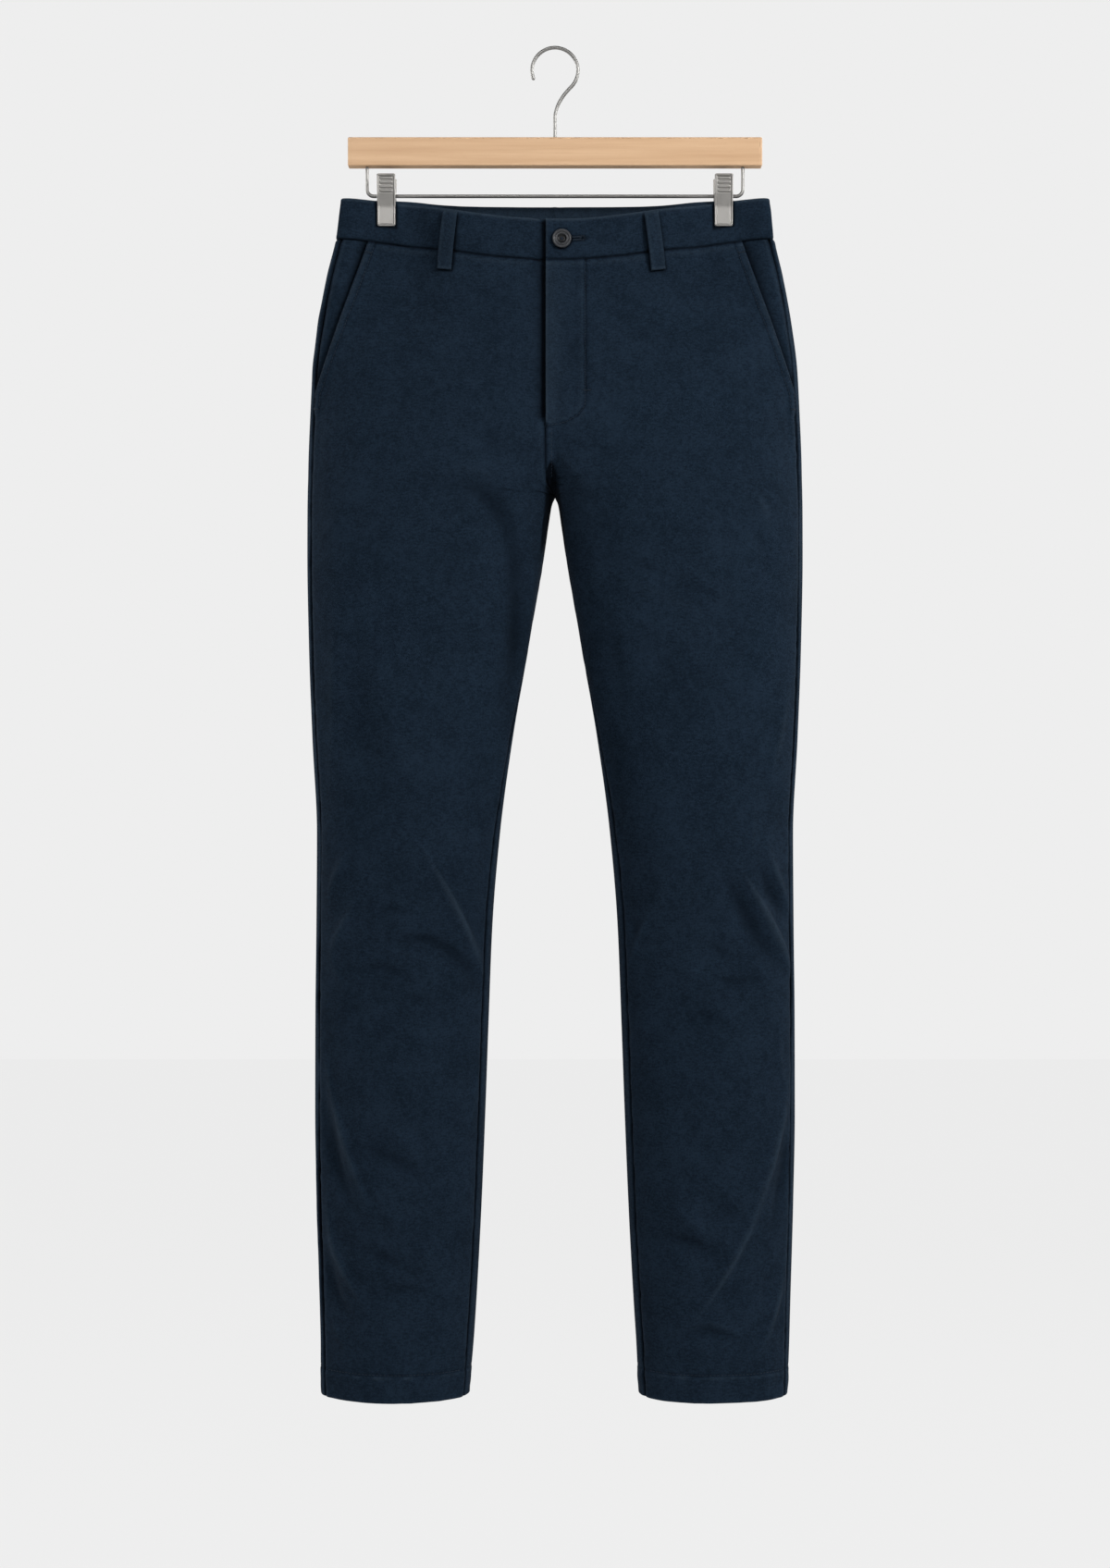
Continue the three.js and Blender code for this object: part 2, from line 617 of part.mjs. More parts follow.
function earShape() {
  const hold = jaw.waistY + jaw.wall / 2;
  const ear = new THREE.Shape();
  ear.moveTo(-hold, rodZ + jaw.earRise);
  ear.lineTo(-hold, rodZ - wireRadius);
  ear.lineTo(0, rodZ - jaw.earRadius);
  ear.absarc(0, rodZ, jaw.earRadius, -Math.PI / 2, Math.PI / 2, false);
  ear.lineTo(-hold, rodZ + jaw.earRise);
  const hole = new THREE.Path();
  hole.absarc(0, rodZ, wireRadius + holeClearance, 0, 2 * Math.PI, true);
  ear.holes.push(hole);
  return ear;
}

function addJaw(name, x, turn, earInset) {
  const biteY = pinchedHalf + jaw.bite;
  const waist = [-jaw.waistY, rodZ + jaw.waistRise];
  const top = [-jaw.topY, jaw.topZ];
  const line = [[-biteY, jaw.tipZ], [-biteY, jaw.biteZ], waist, top];
  let solid = sheetSolid(stripShape(line, 0, jaw.wall), clipWidth, 0);
  for (const edge of [-1, 1]) {
    const rail = stripShape(line, jaw.wall / 2, jaw.wall + jaw.railHeight);
    solid = solid.add(sheetSolid(rail, jaw.railWidth, (edge * (clipWidth - jaw.railWidth)) / 2));
    const earX = edge * (clipWidth / 2 - earInset - jaw.earWall / 2);
    solid = solid.add(sheetSolid(earShape(), jaw.earWall, earX));
  }
  for (let rib = 0; rib < jaw.ribs; rib += 1) {
    const t = (rib + 0.8) / jaw.ribs;
    const y = waist[0] + (top[0] - waist[0]) * t;
    const z = waist[1] + (top[1] - waist[1]) * t;
    const bar = new THREE.BoxGeometry(clipWidth - 2 * jaw.railWidth - 2, jaw.wall, jaw.ribWidth);
    bar.translate(0, y - jaw.wall / 2 - jaw.ribHeight, z);
    solid = solid.add(toSolid(bar));
  }
  const mesh = addMesh(name, toGeometry(solid), finishes.steel);
  mesh.position.x = x;
  mesh.rotation.z = turn;
}

const backEarInset = 1.4; // the back jaw's ears sit inside those of the front jaw
const springHalf = 4.6;

// The spring is wound round the rod between the ears.
function addSpring(name, x) {
  const inside = wireRadius + holeClearance;
  const outside = jaw.earRadius;
  const profile = [
    [inside, -springHalf], [outside, -springHalf], [outside, springHalf], [inside, springHalf],
    [inside, -springHalf],
  ].map(([across, along]) => new THREE.Vector2(across, along));
  const ring = new THREE.LatheGeometry(profile, 12);
  ring.rotateZ(Math.PI / 2);
  ring.translate(x, 0, rodZ);
  addMesh(name, ring, finishes.steel);
}

function addHanger() {
  addBar();
  addHook();
  addRod();
  for (const [word, x] of [['left', clipX], ['right', -clipX]]) {
    addJaw(`clip_${word}_front_jaw`, x, 0, 0);
    addJaw(`clip_${word}_back_jaw`, x, Math.PI, backEarInset);
    addSpring(`clip_${word}_spring`, x);
  }
}

addTrousers();
addButton();
addHanger();

export default trousersOnHanger;
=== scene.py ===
import bpy
import bmesh
import numpy as np
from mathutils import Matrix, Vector


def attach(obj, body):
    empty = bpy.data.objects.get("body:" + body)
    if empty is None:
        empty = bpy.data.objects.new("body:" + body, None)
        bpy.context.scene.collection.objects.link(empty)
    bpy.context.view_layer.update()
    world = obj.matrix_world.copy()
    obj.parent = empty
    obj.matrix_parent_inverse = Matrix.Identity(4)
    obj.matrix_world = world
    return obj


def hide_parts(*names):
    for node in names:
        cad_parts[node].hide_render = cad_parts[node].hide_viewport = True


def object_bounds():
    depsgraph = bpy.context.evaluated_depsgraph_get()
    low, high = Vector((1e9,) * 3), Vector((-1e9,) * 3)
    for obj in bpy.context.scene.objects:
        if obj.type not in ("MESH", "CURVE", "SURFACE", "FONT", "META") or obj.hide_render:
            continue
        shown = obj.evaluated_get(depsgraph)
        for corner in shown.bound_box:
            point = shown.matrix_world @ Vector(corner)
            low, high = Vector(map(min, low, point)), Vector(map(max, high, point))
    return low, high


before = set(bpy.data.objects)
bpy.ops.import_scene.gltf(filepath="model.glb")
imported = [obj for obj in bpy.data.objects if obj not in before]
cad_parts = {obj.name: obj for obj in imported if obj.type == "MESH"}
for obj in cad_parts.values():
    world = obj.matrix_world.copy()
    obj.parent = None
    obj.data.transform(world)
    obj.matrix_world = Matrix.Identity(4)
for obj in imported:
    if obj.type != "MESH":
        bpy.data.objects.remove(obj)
cadBox = [list(corner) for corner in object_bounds()]

# Twill trousers on a wooden clip hanger. Sizes here are in millimetres, as they are cut, and
# putMesh turns them to metres. +Z is up, the front faces -Y and the wearer's left is +X.
mm = 0.001

camera = {"distance": 2200, "height": -659, "lens": 56.3, "sensor": 36}

studio = {
    "grey": 0.855,  # the pale grey of the wall and floor
    "fill": 0.15,  # how much of it reaches the cloth from all round
    "floorBelow": 600,
    "floorSize": 16000,
    "floorShade": 0.03,
    "lamps": {
        "keySoftbox": {"at": (2000, -2000, 800), "aim": (0, 0, -600), "size": 750, "watts": 77},
        "frontSoftbox": {"at": (-1000, -2400, 900), "aim": (0, 0, -700), "size": 1200, "watts": 35},
        "leftRimBox": {"at": (-2300, 700, 100), "aim": (0, 0, -650), "size": 1200, "watts": 44},
        "rightRimBox": {"at": (2300, 700, 100), "aim": (0, 0, -650), "size": 1200, "watts": 30},
        "backSoftbox": {"at": (600, 2400, 900), "aim": (0, 0, -600), "size": 1600, "watts": 50},
    },
}

cut = {
    "waistSideZ": -134.4,  # top of the waistband at the side folds
    "bandHeight": 37,
    "frontSag": 21.6,
    "backSag": 3.3,
    "crotchDrop": 268,
    "forkDrop": 1,  # how much lower the backs part than the fronts
    "hemDrop": 1070,
    "hemDepth": 25,
    "wall": 1.5,
    "hemWall": 2.6,
    "bandWall": 3,
    "sideSeamInset": 4.5,
    "inseamInset": 5,
    "clipX": 151,
    "pinchedHalf": 3.5,
    "clipFlat": 13,  # how far each side of a clip's middle the cloth lies flat
    "pinchReach": 30,
    "pinchTop": 30,  # the squeeze starts to fade this far down
    "pinchFade": 110,
    "inseamStart": 120,  # how far below the crotch the inseam starts to move outwards
    "inseamFade": 260,
    "seamGap": 0.04,
    "joinLap": 0.12,  # how far both halves run past the centre back, which is sewn shut
}
hemTop = cut["hemDrop"] - cut["hemDepth"]

fly = {
    "lapEdge": -8.3,
    "bottom": 199,
    "underlapEdge": -4.5,
    "underlapDepth": 1.9,
    "tuckStart": 24,
    "tuckDown": 11,
    "bandTuck": 3.4,
    "lapRise": 1.7,
    "underlapDip": 1.7,
    "shieldDepth": 5.5,
    "shieldEdges": (-14, 34),
    "shieldBottom": 206,
    "zipDepth": 2,
    "zipWall": 1.2,
    "zipEdges": (-2.5, 24),
    "zipBottom": 190,
    # the topstitch that holds the fly: straight down, then a J round to the lap's edge
    "stitchX": 27,
    "stitchTurn": 181,
    "stitchEnd": 206,
    "tack": 171,
    "seamStitch": 5.2,  # how far from the front seam its topstitch runs
}

pocket = {
    "topX": 167.5, "bottom": 178, "facingDepth": 2.6, "tuckDepth": 2.2, "stitchIn": 6.8,
    "edgeStitch": 1.6,
}

# One row a level: how far down, the two edges of one leg from the centre plane, half depths in
# front and behind, and how square the outer and inner ends of the section are.
levels = {
    "columns": ("drop", "outer", "inner", "front", "back", "roundOut", "roundIn"),
    "rows": np.array([
        (0, 191.8, -191.8, 20, 18, 3, 2),
        (37, 196.6, -196.6, 22, 21, 2.7, 2),
        (70, 204.4, -204.4, 29, 30, 2.4, 2),
        (112, 212.1, -192, 38, 42, 2.2, 2),
        (153, 217.3, -150, 46, 53, 2.1, 2.1),
        (195, 219.5, -87, 53, 61, 2, 2.3),
        (236, 221.1, -31, 57, 65, 2, 2.6),
        (252, 221.4, -13, 58, 65, 2, 2.7),
        (262, 221.7, -3.6, 58, 64, 2, 2.7),
        (268, 221.8, 0.2, 58, 63, 2, 2.6),
        (273, 221.9, 2.4, 58, 62, 2, 2.6),
        (283, 222, 4.4, 58, 61, 2, 2.5),
        (319, 222.1, 9.6, 57, 60, 2, 2.4),
        (402, 220.6, 23.9, 54, 56, 2, 2.2),
        (485, 217.5, 38.1, 51, 52, 2, 2.1),
        (568, 213.5, 49.2, 49, 49, 2, 2),
        (651, 214, 56.1, 47, 47, 2, 2),
        (734, 214.9, 59.4, 46, 46, 2, 2),
        (817, 215.1, 62.4, 45, 45, 2, 2),
        (900, 213.6, 65.8, 44, 44, 2, 2),
        (983, 211.2, 70.2, 43.5, 43.5, 2, 2),
        (1058, 209, 75.2, 43.5, 43.5, 2, 2),
        (1070, 208.3, 76, 43.3, 43.3, 2, 2),
    ], float),
}

# The front seam follows the lap's edge down to the cleft above the crotch, and there turns in to
# the centre.
frontSeam = np.array([(0, -8.3), (199, -8.3), (225, -8.1), (256, -7), (264, -3), (267, 0)], float)

# The cleft is a hollow between these two edges, given as (drop, x), and its cloth is darkened with
# painted shadow.
cleft = {
    "depth": 3,
    "right": np.array([
        (238, -4), (249, -7), (260, -7.6), (274, -8), (300, -11), (330, -14),
    ], float),
    "left": np.array([
        (238, -3.6), (249, 1.4), (260, 3), (274, 4.5), (300, 8), (330, 11),
    ], float),
}

# Creases of fronts and backs, seen from the front: x to the right, half widths along and across,
# turn in degrees up from level, bend sideways at its ends, height out (a trough is negative) and
# skew, which makes the upper side steeper than the lower one when above 0.
creases = {
    "columns": ("x", "drop", "along", "across", "turn", "bend", "height", "skew"),
    "front": np.array([
        # hips and thighs
        (-54, 279, 35, 10, -44, -12, -3.0, 0),
        (-32, 384, 66, 10, 88, 5, -3.2, 0),
        (-69, 250, 24, 9, -21, -6, 1.2, 0),
        (-20, 356, 50, 8, 86, 3, 1.0, 0),
        (-121, 138, 36, 6, -20, -1, -0.6, 0),
        (-74, 101, 33, 6, -15, 1, -0.5, 0),
        (-84, 195, 34, 7, -20, 1, -0.6, 0),
        (-46, 229, 27, 6, -17, 2, -0.6, 0),
        (-44, 80, 24, 5, -17, 2, -0.5, 0),
        (75, 333, 41, 5, -20, -2, -0.8, 0),
        (135, 358, 28, 5, -27, -1, -0.8, 0),
        (88, 357, 39, 7, -21, -4, 0.6, 0),
        (48, 232, 35, 6, -3, 6, -0.7, 0),
        (20, 252, 22, 9, -58, -1, 1.1, 0),
        (183, 282, 11, 5, -66, 0, 0.9, 0),
        (181, 312, 12, 6, -63, -1, -0.9, 0),
        (199, 481, 33, 4, 78, 0, 1.1, 0),
        (-198, 446, 64, 5, 89, 0, 0.6, 0),
        (-148, 463, 42, 10, -76, 4, 0.8, 0),
        (-98, 454, 55, 12, -67, 5, 0.8, 0),
        (-171, 456, 50, 12, -86, 1, -1.0, 0),
        (54, 427, 51, 9, -80, 3, -0.9, 0),
        # right knee
        (-193, 603, 17, 4, 68, -1, 1.6, 0.3),
        (-189, 651, 24, 4, 65, -2, 1.6, 0.3),
        (-193, 692, 16, 4, -67, 1, 0.8, 0),
        (-84, 640, 51, 4.5, -66, -3, 3.0, 0.4),
        (-88, 676, 34, 7, -39, -9, -2.4, 0),
        (-144, 635, 17, 5, 2, -6, -1.3, 0),
        (-119, 661, 21, 5, -2, -4, -1.3, 0),
        (-131, 673, 19, 6, -16, -1, 1.0, 0),
        (-153, 687, 23, 5, -4, -6, -1.6, 0),
        (-120, 714, 16, 5, -6, -3, -1.2, 0),
        # right shin
        (-188, 833, 54, 4.5, -73, 2, 2.6, 0.3),
        (-195, 851, 47, 7, -78, 6, -1.9, 0),
        (-193, 943, 43, 4.5, -69, 7, 2.2, 0.3),
        (-195, 974, 24, 5, -71, 4, -1.4, 0),
        (-133, 838, 33, 8, -46, -6, 1.2, 0),
        (-142, 856, 30, 7, -30, -3, -1.6, 0),
        (-145, 904, 49, 9, -56, 5, 1.7, 0),
        (-151, 942, 28, 6, -22, 0, -1.7, 0),
        (-134, 969, 20, 5, -1, -4, -1.6, 0),
        (-72, 806, 28, 4, 80, 1, 0.9, 0),
        (-68, 847, 19, 4, 87, 1, -0.8, 0),
        (-88, 973, 16, 3.5, -44, 0, 1.0, 0),
        (-194, 1010, 16, 4, -63, 2, 0.8, 0),
        # left knee
        (190, 647, 42, 4.5, -65, -2, 3.4, 0.4),
        (172, 647, 37, 7, -60, 2, -3.0, 0),
        (197, 607, 27, 4, -70, 1, 2.0, 0.3),
        (193, 624, 22, 6, -64, 1, -2.2, 0),
        (158, 659, 42, 9, -58, 3, 1.5, 0),
        (145, 673, 11, 5, -41, 1, -1.5, 0),
        (161, 700, 16, 5, 2, 3, -1.6, 0),
        (129, 728, 16, 5, 0, -5, -1.4, 0),
        (119, 687, 9, 6, -21, -1, 0.8, 0),
        (175, 569, 23, 4, 87, 0, 0.8, 0),
        (74, 659, 27, 3.5, 70, -2, 1.0, 0.3),
        (70, 652, 10, 3.5, -74, 0, -0.8, 0),
        # left shin
        (199, 773, 23, 4, -81, 2, 0.9, 0),
        (194, 853, 50, 4.5, 75, 3, 2.4, -0.4),
        (157, 946, 47, 4.5, 60, 2, 2.3, -0.4),
        (202, 873, 34, 6, 80, 1, -2.0, 0),
        (196, 988, 30, 4, 74, 2, 1.8, -0.3),
        (185, 973, 12, 4, 84, 0, -0.8, 0),
        (116, 928, 23, 6, -13, -3, -2.0, 0),
        (121, 910, 23, 8, -39, 1, 1.3, 0),
        (148, 881, 23, 8, -36, 1, 1.0, 0),
        (153, 903, 16, 6, -25, 0, -1.1, 0),
        (120, 953, 16, 7, -42, -1, 1.0, 0),
        (136, 1007, 26, 5, -3, -7, -1.9, 0),
        (146, 1002, 18, 5, -21, 0, 1.2, 0),
        (162, 974, 11, 4, -3, 1, -0.8, 0),
    ], float),
    "back": np.array([
        # seat: soft drags from the crotch and under the seat
        (-62, 262, 62, 12, 34, 6, -2.2, 0),
        (60, 266, 66, 12, -32, 6, -2.4, 0),
        (-70, 300, 70, 13, 22, 5, -1.9, 0.1),
        (76, 306, 62, 13, -26, 5, -1.7, 0.1),
        (-40, 330, 44, 8, 48, 3, 1.4, 0),
        (46, 338, 48, 8, -44, 3, 1.5, 0),
        (-150, 420, 130, 26, 84, 0, -2, 0),
        (136, 450, 140, 28, -86, 0, -2.2, 0),
        # behind the knees
        (-152, 640, 40, 6, 24, 4, -2.4, 0.2),
        (-118, 668, 42, 7, -10, 4, -2.5, 0),
        (-170, 690, 34, 5, 38, 0, 1.7, 0.3),
        (-92, 640, 34, 5, -52, 2, 1.9, 0.3),
        (-140, 712, 40, 9, 8, 3, -1.6, 0),
        (150, 634, 42, 6, -26, 4, -2.3, 0.2),
        (120, 672, 40, 7, 8, 4, -2.6, 0),
        (176, 682, 32, 5, -40, 0, 1.8, 0.3),
        (90, 650, 34, 5, 54, 2, 1.7, 0.3),
        (138, 716, 42, 9, -6, 3, -1.5, 0),
        # calves and hems
        (-186, 850, 62, 6, 70, 3, 1.6, -0.3),
        (-110, 900, 46, 10, 20, 0, -1.5, 0),
        (-150, 968, 38, 8, -14, 2, -1.4, 0),
        (188, 836, 58, 6, -72, 3, 1.7, -0.3),
        (118, 886, 44, 10, -22, 0, -1.6, 0),
        (146, 980, 36, 8, 16, 2, -1.3, 0),
        (96, 1000, 24, 5, -56, 0, 1.2, 0),
    ], float),
}


def smooth(t):
    u = np.clip(t, 0, 1)
    return u * u * (3 - 2 * u)


def bell(distance, width):
    return np.exp(-((distance / width) ** 2))


def sideWord(side):
    return "left" if side > 0 else "right"


def sampleTable(places, values, at):
    # a smooth curve through the values with no overshoot: a cubic between each two places, whose
    # end slopes are the harmonic means of the slopes on both sides, or 0 where those change sign
    slope = np.diff(values) / np.diff(places)
    product = slope[:-1] * slope[1:]
    total = np.where(product > 0, slope[:-1] + slope[1:], 1)
    inside = np.where(product > 0, 2 * product / total, 0)
    tangent = np.concatenate([slope[:1], inside, slope[-1:]])
    at = np.clip(at, places[0], places[-1])
    k = np.clip(np.searchsorted(places, at) - 1, 0, len(places) - 2)
    span = places[k + 1] - places[k]
    t = (at - places[k]) / span
    blend = t * t * (3 - 2 * t)
    ends = t * (1 - t) ** 2 * span * tangent[k] + t * t * (t - 1) * span * tangent[k + 1]
    return values[k] * (1 - blend) + values[k + 1] * blend + ends


def levelAt(drop):
    places = levels["rows"][:, 0]
    names = levels["columns"][1:]
    level = {
        name: sampleTable(places, levels["rows"][:, k + 1], drop) for k, name in enumerate(names)
    }
    level["drop"] = np.asarray(drop, float)
    level["middle"] = (level["outer"] + level["inner"]) / 2
    level["half"] = (level["outer"] - level["inner"]) / 2
    return level


def turnAt(level, x):
    # the turn round a section where it crosses x: 0 at the outer edge, half a turn at the inner
    t = np.clip((x - level["middle"]) / level["half"], -1, 1)
    roundness = np.where(t < 0, level["roundIn"], level["roundOut"])
    return np.arccos(np.sign(t) * np.abs(t) ** (roundness / 2))


def frontTurnAt(level, x):
    # the same for an x that may lie past the centre plane
    return np.where(x < 0, 2 * turnAt(level, 0) - turnAt(level, -x), turnAt(level, x))


def sectionPoint(level, turn):
    # x is the middle plus half the width times a power of the cosine, and the depth is the half
    # depth times the same power of the sine. Above the crotch a turn past the centre plane runs
    # on over the other leg.
    joined = level["drop"] < cut["crotchDrop"]
    wrapped = np.where(joined, turn, np.arctan2(np.sin(turn), np.cos(turn)))
    face = np.where(wrapped < 0, -1.0, 1.0)
    centre = np.where(joined, turnAt(level, 0), np.pi)
    past = np.abs(wrapped) > centre
    used = np.where(past, 2 * centre - np.abs(wrapped), np.abs(wrapped))
    power = 2 / np.where(np.cos(used) < 0, level["roundIn"], level["roundOut"])
    reach = np.sign(np.cos(used)) * np.abs(np.cos(used)) ** power
    x = level["middle"] + level["half"] * reach
    halfDepth = np.where(face > 0, level["front"], level["back"])
    return np.where(past, -x, x), halfDepth * np.abs(np.sin(used)) ** power, face


def clothPoint(side, drop, turn):
    # the plain outside of the cloth: the section, squeezed flat under the clips, with the waist's
    # top edge dipping towards the centre
    level = levelAt(drop)
    x, depth, face = sectionPoint(level, turn)
    fromClip = np.maximum(0, np.abs(np.abs(x) - cut["clipX"]) - cut["clipFlat"])
    fading = smooth((drop - cut["pinchTop"]) / cut["pinchFade"])
    pinch = bell(fromClip, cut["pinchReach"]) * (1 - fading)
    depth = depth * (1 - pinch) + np.minimum(depth, cut["pinchedHalf"]) * pinch
    inward = 1 - (x / level["outer"]) ** 2
    sag = np.where(face > 0, cut["frontSag"] * inward**2, cut["backSag"] * inward)
    band = cut["bandHeight"]
    fade = 1 - smooth((drop - band) / (cut["crotchDrop"] - band))
    z = cut["waistSideZ"] - drop - sag * fade
    return np.stack(np.broadcast_arrays(side * x, -face * depth, z), -1)


def unit(vectors):
    return vectors / np.maximum(np.linalg.norm(vectors, axis=-1, keepdims=True), 1e-9)


def clothNormal(side, drop, turn):
    # square to two short steps, one round the section and one down the cloth
    turnStep, dropStep = 0.004, 0.5
    across = clothPoint(side, drop, turn + turnStep) - clothPoint(side, drop, turn - turnStep)
    down = clothPoint(side, drop + dropStep, turn) - clothPoint(side, drop - dropStep, turn)
    return unit(np.cross(across, down) * side)


def wander(x, y, size, seed):
    # soft uneven waves of about the given size: random heights on a lattice, joined smoothly
    rows, columns = 96, 96
    heights = np.random.default_rng(seed).normal(0, 1, (rows, columns))
    u = np.asarray(x) / size[0] + 31.4
    v = np.asarray(y) / size[1] + 17.7
    i, j = np.floor(u).astype(int), np.floor(v).astype(int)
    s, t = smooth(u - i), smooth(v - j)
    pick = lambda a, b: heights[(i + a) % rows, (j + b) % columns]
    top = pick(0, 0) * (1 - s) + pick(1, 0) * s
    bottom = pick(0, 1) * (1 - s) + pick(1, 1) * s
    return top * (1 - t) + bottom * t


def creaseLift(rows, x, drop):
    # each crease is a bell across a line: it fades along the line, bends with the square of the
    # distance along it, and is narrower on one side by its skew
    lift = np.zeros(np.broadcast(x, drop).shape)
    for place, down, along, across, turn, bend, height, skew in rows:
        slope = np.radians(turn)
        right, up = x - place, down - drop
        run = (right * np.cos(slope) + up * np.sin(slope)) / along
        off = (up * np.cos(slope) - right * np.sin(slope)) - bend * run**2
        width = across * (1 - skew * np.tanh(off / across * 2))
        crest = 1.35 if height > 0 else 2
        lift += height * np.exp(-(run**2)) * np.exp(-(np.abs(off / width) ** crest))
    return lift


def creaseWearAndShade(rows, x, drop):
    # the crests of the ridges are painted lighter, partly as rubbed wear and partly as a painted
    # highlight, and the troughs are darkened with painted shade
    across, height = (creases["columns"].index(name) for name in ("across", "height"))
    crests = rows.copy()
    ridge = crests[:, height] > 0
    sharp = np.clip(relief["sharpWidth"] / crests[:, across], 0, 1) ** 3
    crests[:, across] *= np.where(ridge, 0.5, 0.75)
    crests[:, height] *= np.where(ridge, relief["crestWearAndHighlight"] * sharp, relief["troughShade"])
    return np.clip(creaseLift(crests, x, drop), -0.5, 0.6)


def roundEdge(distance, radius):
    # how far a rounded edge falls away, near the end of a wall
    near = np.clip(radius - distance, 0, radius)
    return radius - np.sqrt(radius**2 - near**2)


def seamDip(distance):
    return -0.85 * bell(distance, 1.2) - 0.3 * bell(distance, 4) + 0.25 * bell(distance - 5, 2.5)


# painted shade in the groove of a seam, and a painted highlight on the raised strip beside it
def seamShadeAndHighlight(distance):
    return 0.16 * bell(distance - 3.6, 1.6) - 0.9 * bell(distance, 1.7)


def runAlong(points):
    # the distance from the start to each point of a line
    return np.concatenate([[0], np.cumsum(np.linalg.norm(np.diff(points, axis=0), axis=1))])


def sampleLine(points, along, at):
    # the points of a line at other distances along it
    return np.stack([np.interp(at, along, values) for values in points.T], -1)


def lineDistance(line, x, y):
    # the distance to the nearest leg of a line of points
    best = np.full(np.broadcast(x, y).shape, 1e9)
    for (ax, ay), (bx, by) in zip(line[:-1], line[1:]):
        length = (bx - ax) ** 2 + (by - ay) ** 2
        t = np.clip(((x - ax) * (bx - ax) + (y - ay) * (by - ay)) / length, 0, 1)
        best = np.minimum(best, np.hypot(x - ax - t * (bx - ax), y - ay - t * (by - ay)))
    return best


edgeSteps = np.array([0, 0.12, 0.4, 0.9, 1.6, 2.5, 3.7, 5.2, 7, 9.2])


def gradedSteps(stretches):
    # steps of about the size given for each stretch, and fine steps at both ends
    start, end = stretches[0][0], stretches[-1][1]
    steps = [start + edgeSteps]
    for low, high, size in stretches:
        low, high = max(low, start + edgeSteps[-1]), min(high, end - edgeSteps[-1])
        steps.append(np.linspace(low, high, max(2, int(round((high - low) / size)) + 1))[1:])
    steps.append((end - edgeSteps[::-1])[1:])
    return np.concatenate(steps)


laying = {
    "samples": 500,
    "bendPull": 14,  # how strongly columns gather where the section bends
    "closerPull": 2.5,  # and near x = closer, over this half width and fade
    "closerHalf": 9,
    "closerFade": 4,
}


def layPanel(side, drops, startTurn, endTurn, columns, edges=edgeSteps, closer=None):
    # Rows run down the cloth and columns from one turn to another. Columns keep the edge steps at
    # both ends and lie closer together where the section bends more, and near x = closer.
    drops = np.asarray(drops, float)[:, None]
    dense = np.linspace(0, 1, laying["samples"])[None, :]
    turns = startTurn[:, None] + (endTurn - startTurn)[:, None] * dense
    steps = np.diff(clothPoint(side, drops, turns), axis=1)
    length = np.linalg.norm(steps, axis=-1)
    aim = unit(steps)
    bending = np.linalg.norm(np.diff(aim, axis=1), axis=-1)
    run = np.pad(np.cumsum(length, 1), ((0, 0), (1, 0)))
    effort = run + laying["bendPull"] * np.pad(np.cumsum(bending, 1), ((0, 0), (2, 0)))
    if closer:
        x = clothPoint(side, drops, turns[:, 1:])[..., 0]
        beyond = np.maximum(0, np.abs(np.abs(x) - closer) - laying["closerHalf"])
        extra = length * laying["closerPull"] * bell(beyond, laying["closerFade"])
        effort = effort + np.pad(np.cumsum(extra, 1), ((0, 0), (1, 0)))
    total = run[:, -1:]
    share = np.linspace(0, 1, columns)[1:-1]
    places = []
    for k in range(len(drops)):
        low, high = edges[-1], total[k, 0] - edges[-1]
        ends = np.interp([low, high], run[k], effort[k])
        middle = np.interp(ends[0] + (ends[1] - ends[0]) * share, effort[k], run[k])
        places.append(np.concatenate([edges, middle, total[k, 0] - edges[::-1]]))
    places = np.array(places)
    turn = np.array([np.interp(places[k], run[k], turns[k]) for k in range(len(drops))])
    base = clothPoint(side, drops, turn)
    return {
        "side": side,
        "drops": drops,
        "turn": turn,
        "place": places,
        "length": total,
        "base": base,
        "normal": clothNormal(side, drops, turn),
        "x": base[..., 0],
        "reach": side * base[..., 0],
    }


def shellPoints(panel, lift, wall):
    # the outside is the base moved out by lift, and the inside lies one wall behind it. Both come
    # together in a half round at the edges.
    start, end = panel["place"], panel["length"] - panel["place"]
    top = panel["drops"] - panel["drops"][0]
    bottom = panel["drops"][-1] - panel["drops"]
    radius = wall / 2 - 0.03
    nearest = np.minimum(np.minimum(start, end), np.minimum(top, bottom))
    fall = roundEdge(nearest, radius)
    outside = panel["base"] + panel["normal"] * (lift - fall)[..., None]
    inside = panel["base"] + panel["normal"] * (lift - wall + fall)[..., None]
    return outside, inside


def gridQuads(index):
    a, b, c, d = index[:-1, :-1], index[:-1, 1:], index[1:, 1:], index[1:, :-1]
    return np.stack([a, b, c, d], -1).reshape(-1, 4)


def ringQuads(rings, sides):
    # quads between each ring of points and the next
    index = np.arange(rings * sides).reshape(rings, sides)
    after = np.roll(index, -1, axis=1)
    return np.stack([index[:-1], after[:-1], after[1:], index[1:]], -1).reshape(-1, 4)


def keptSteps(count, every):
    # every so many of a row of steps, and always the last one
    return np.unique(np.append(np.arange(0, count, every), count - 1))


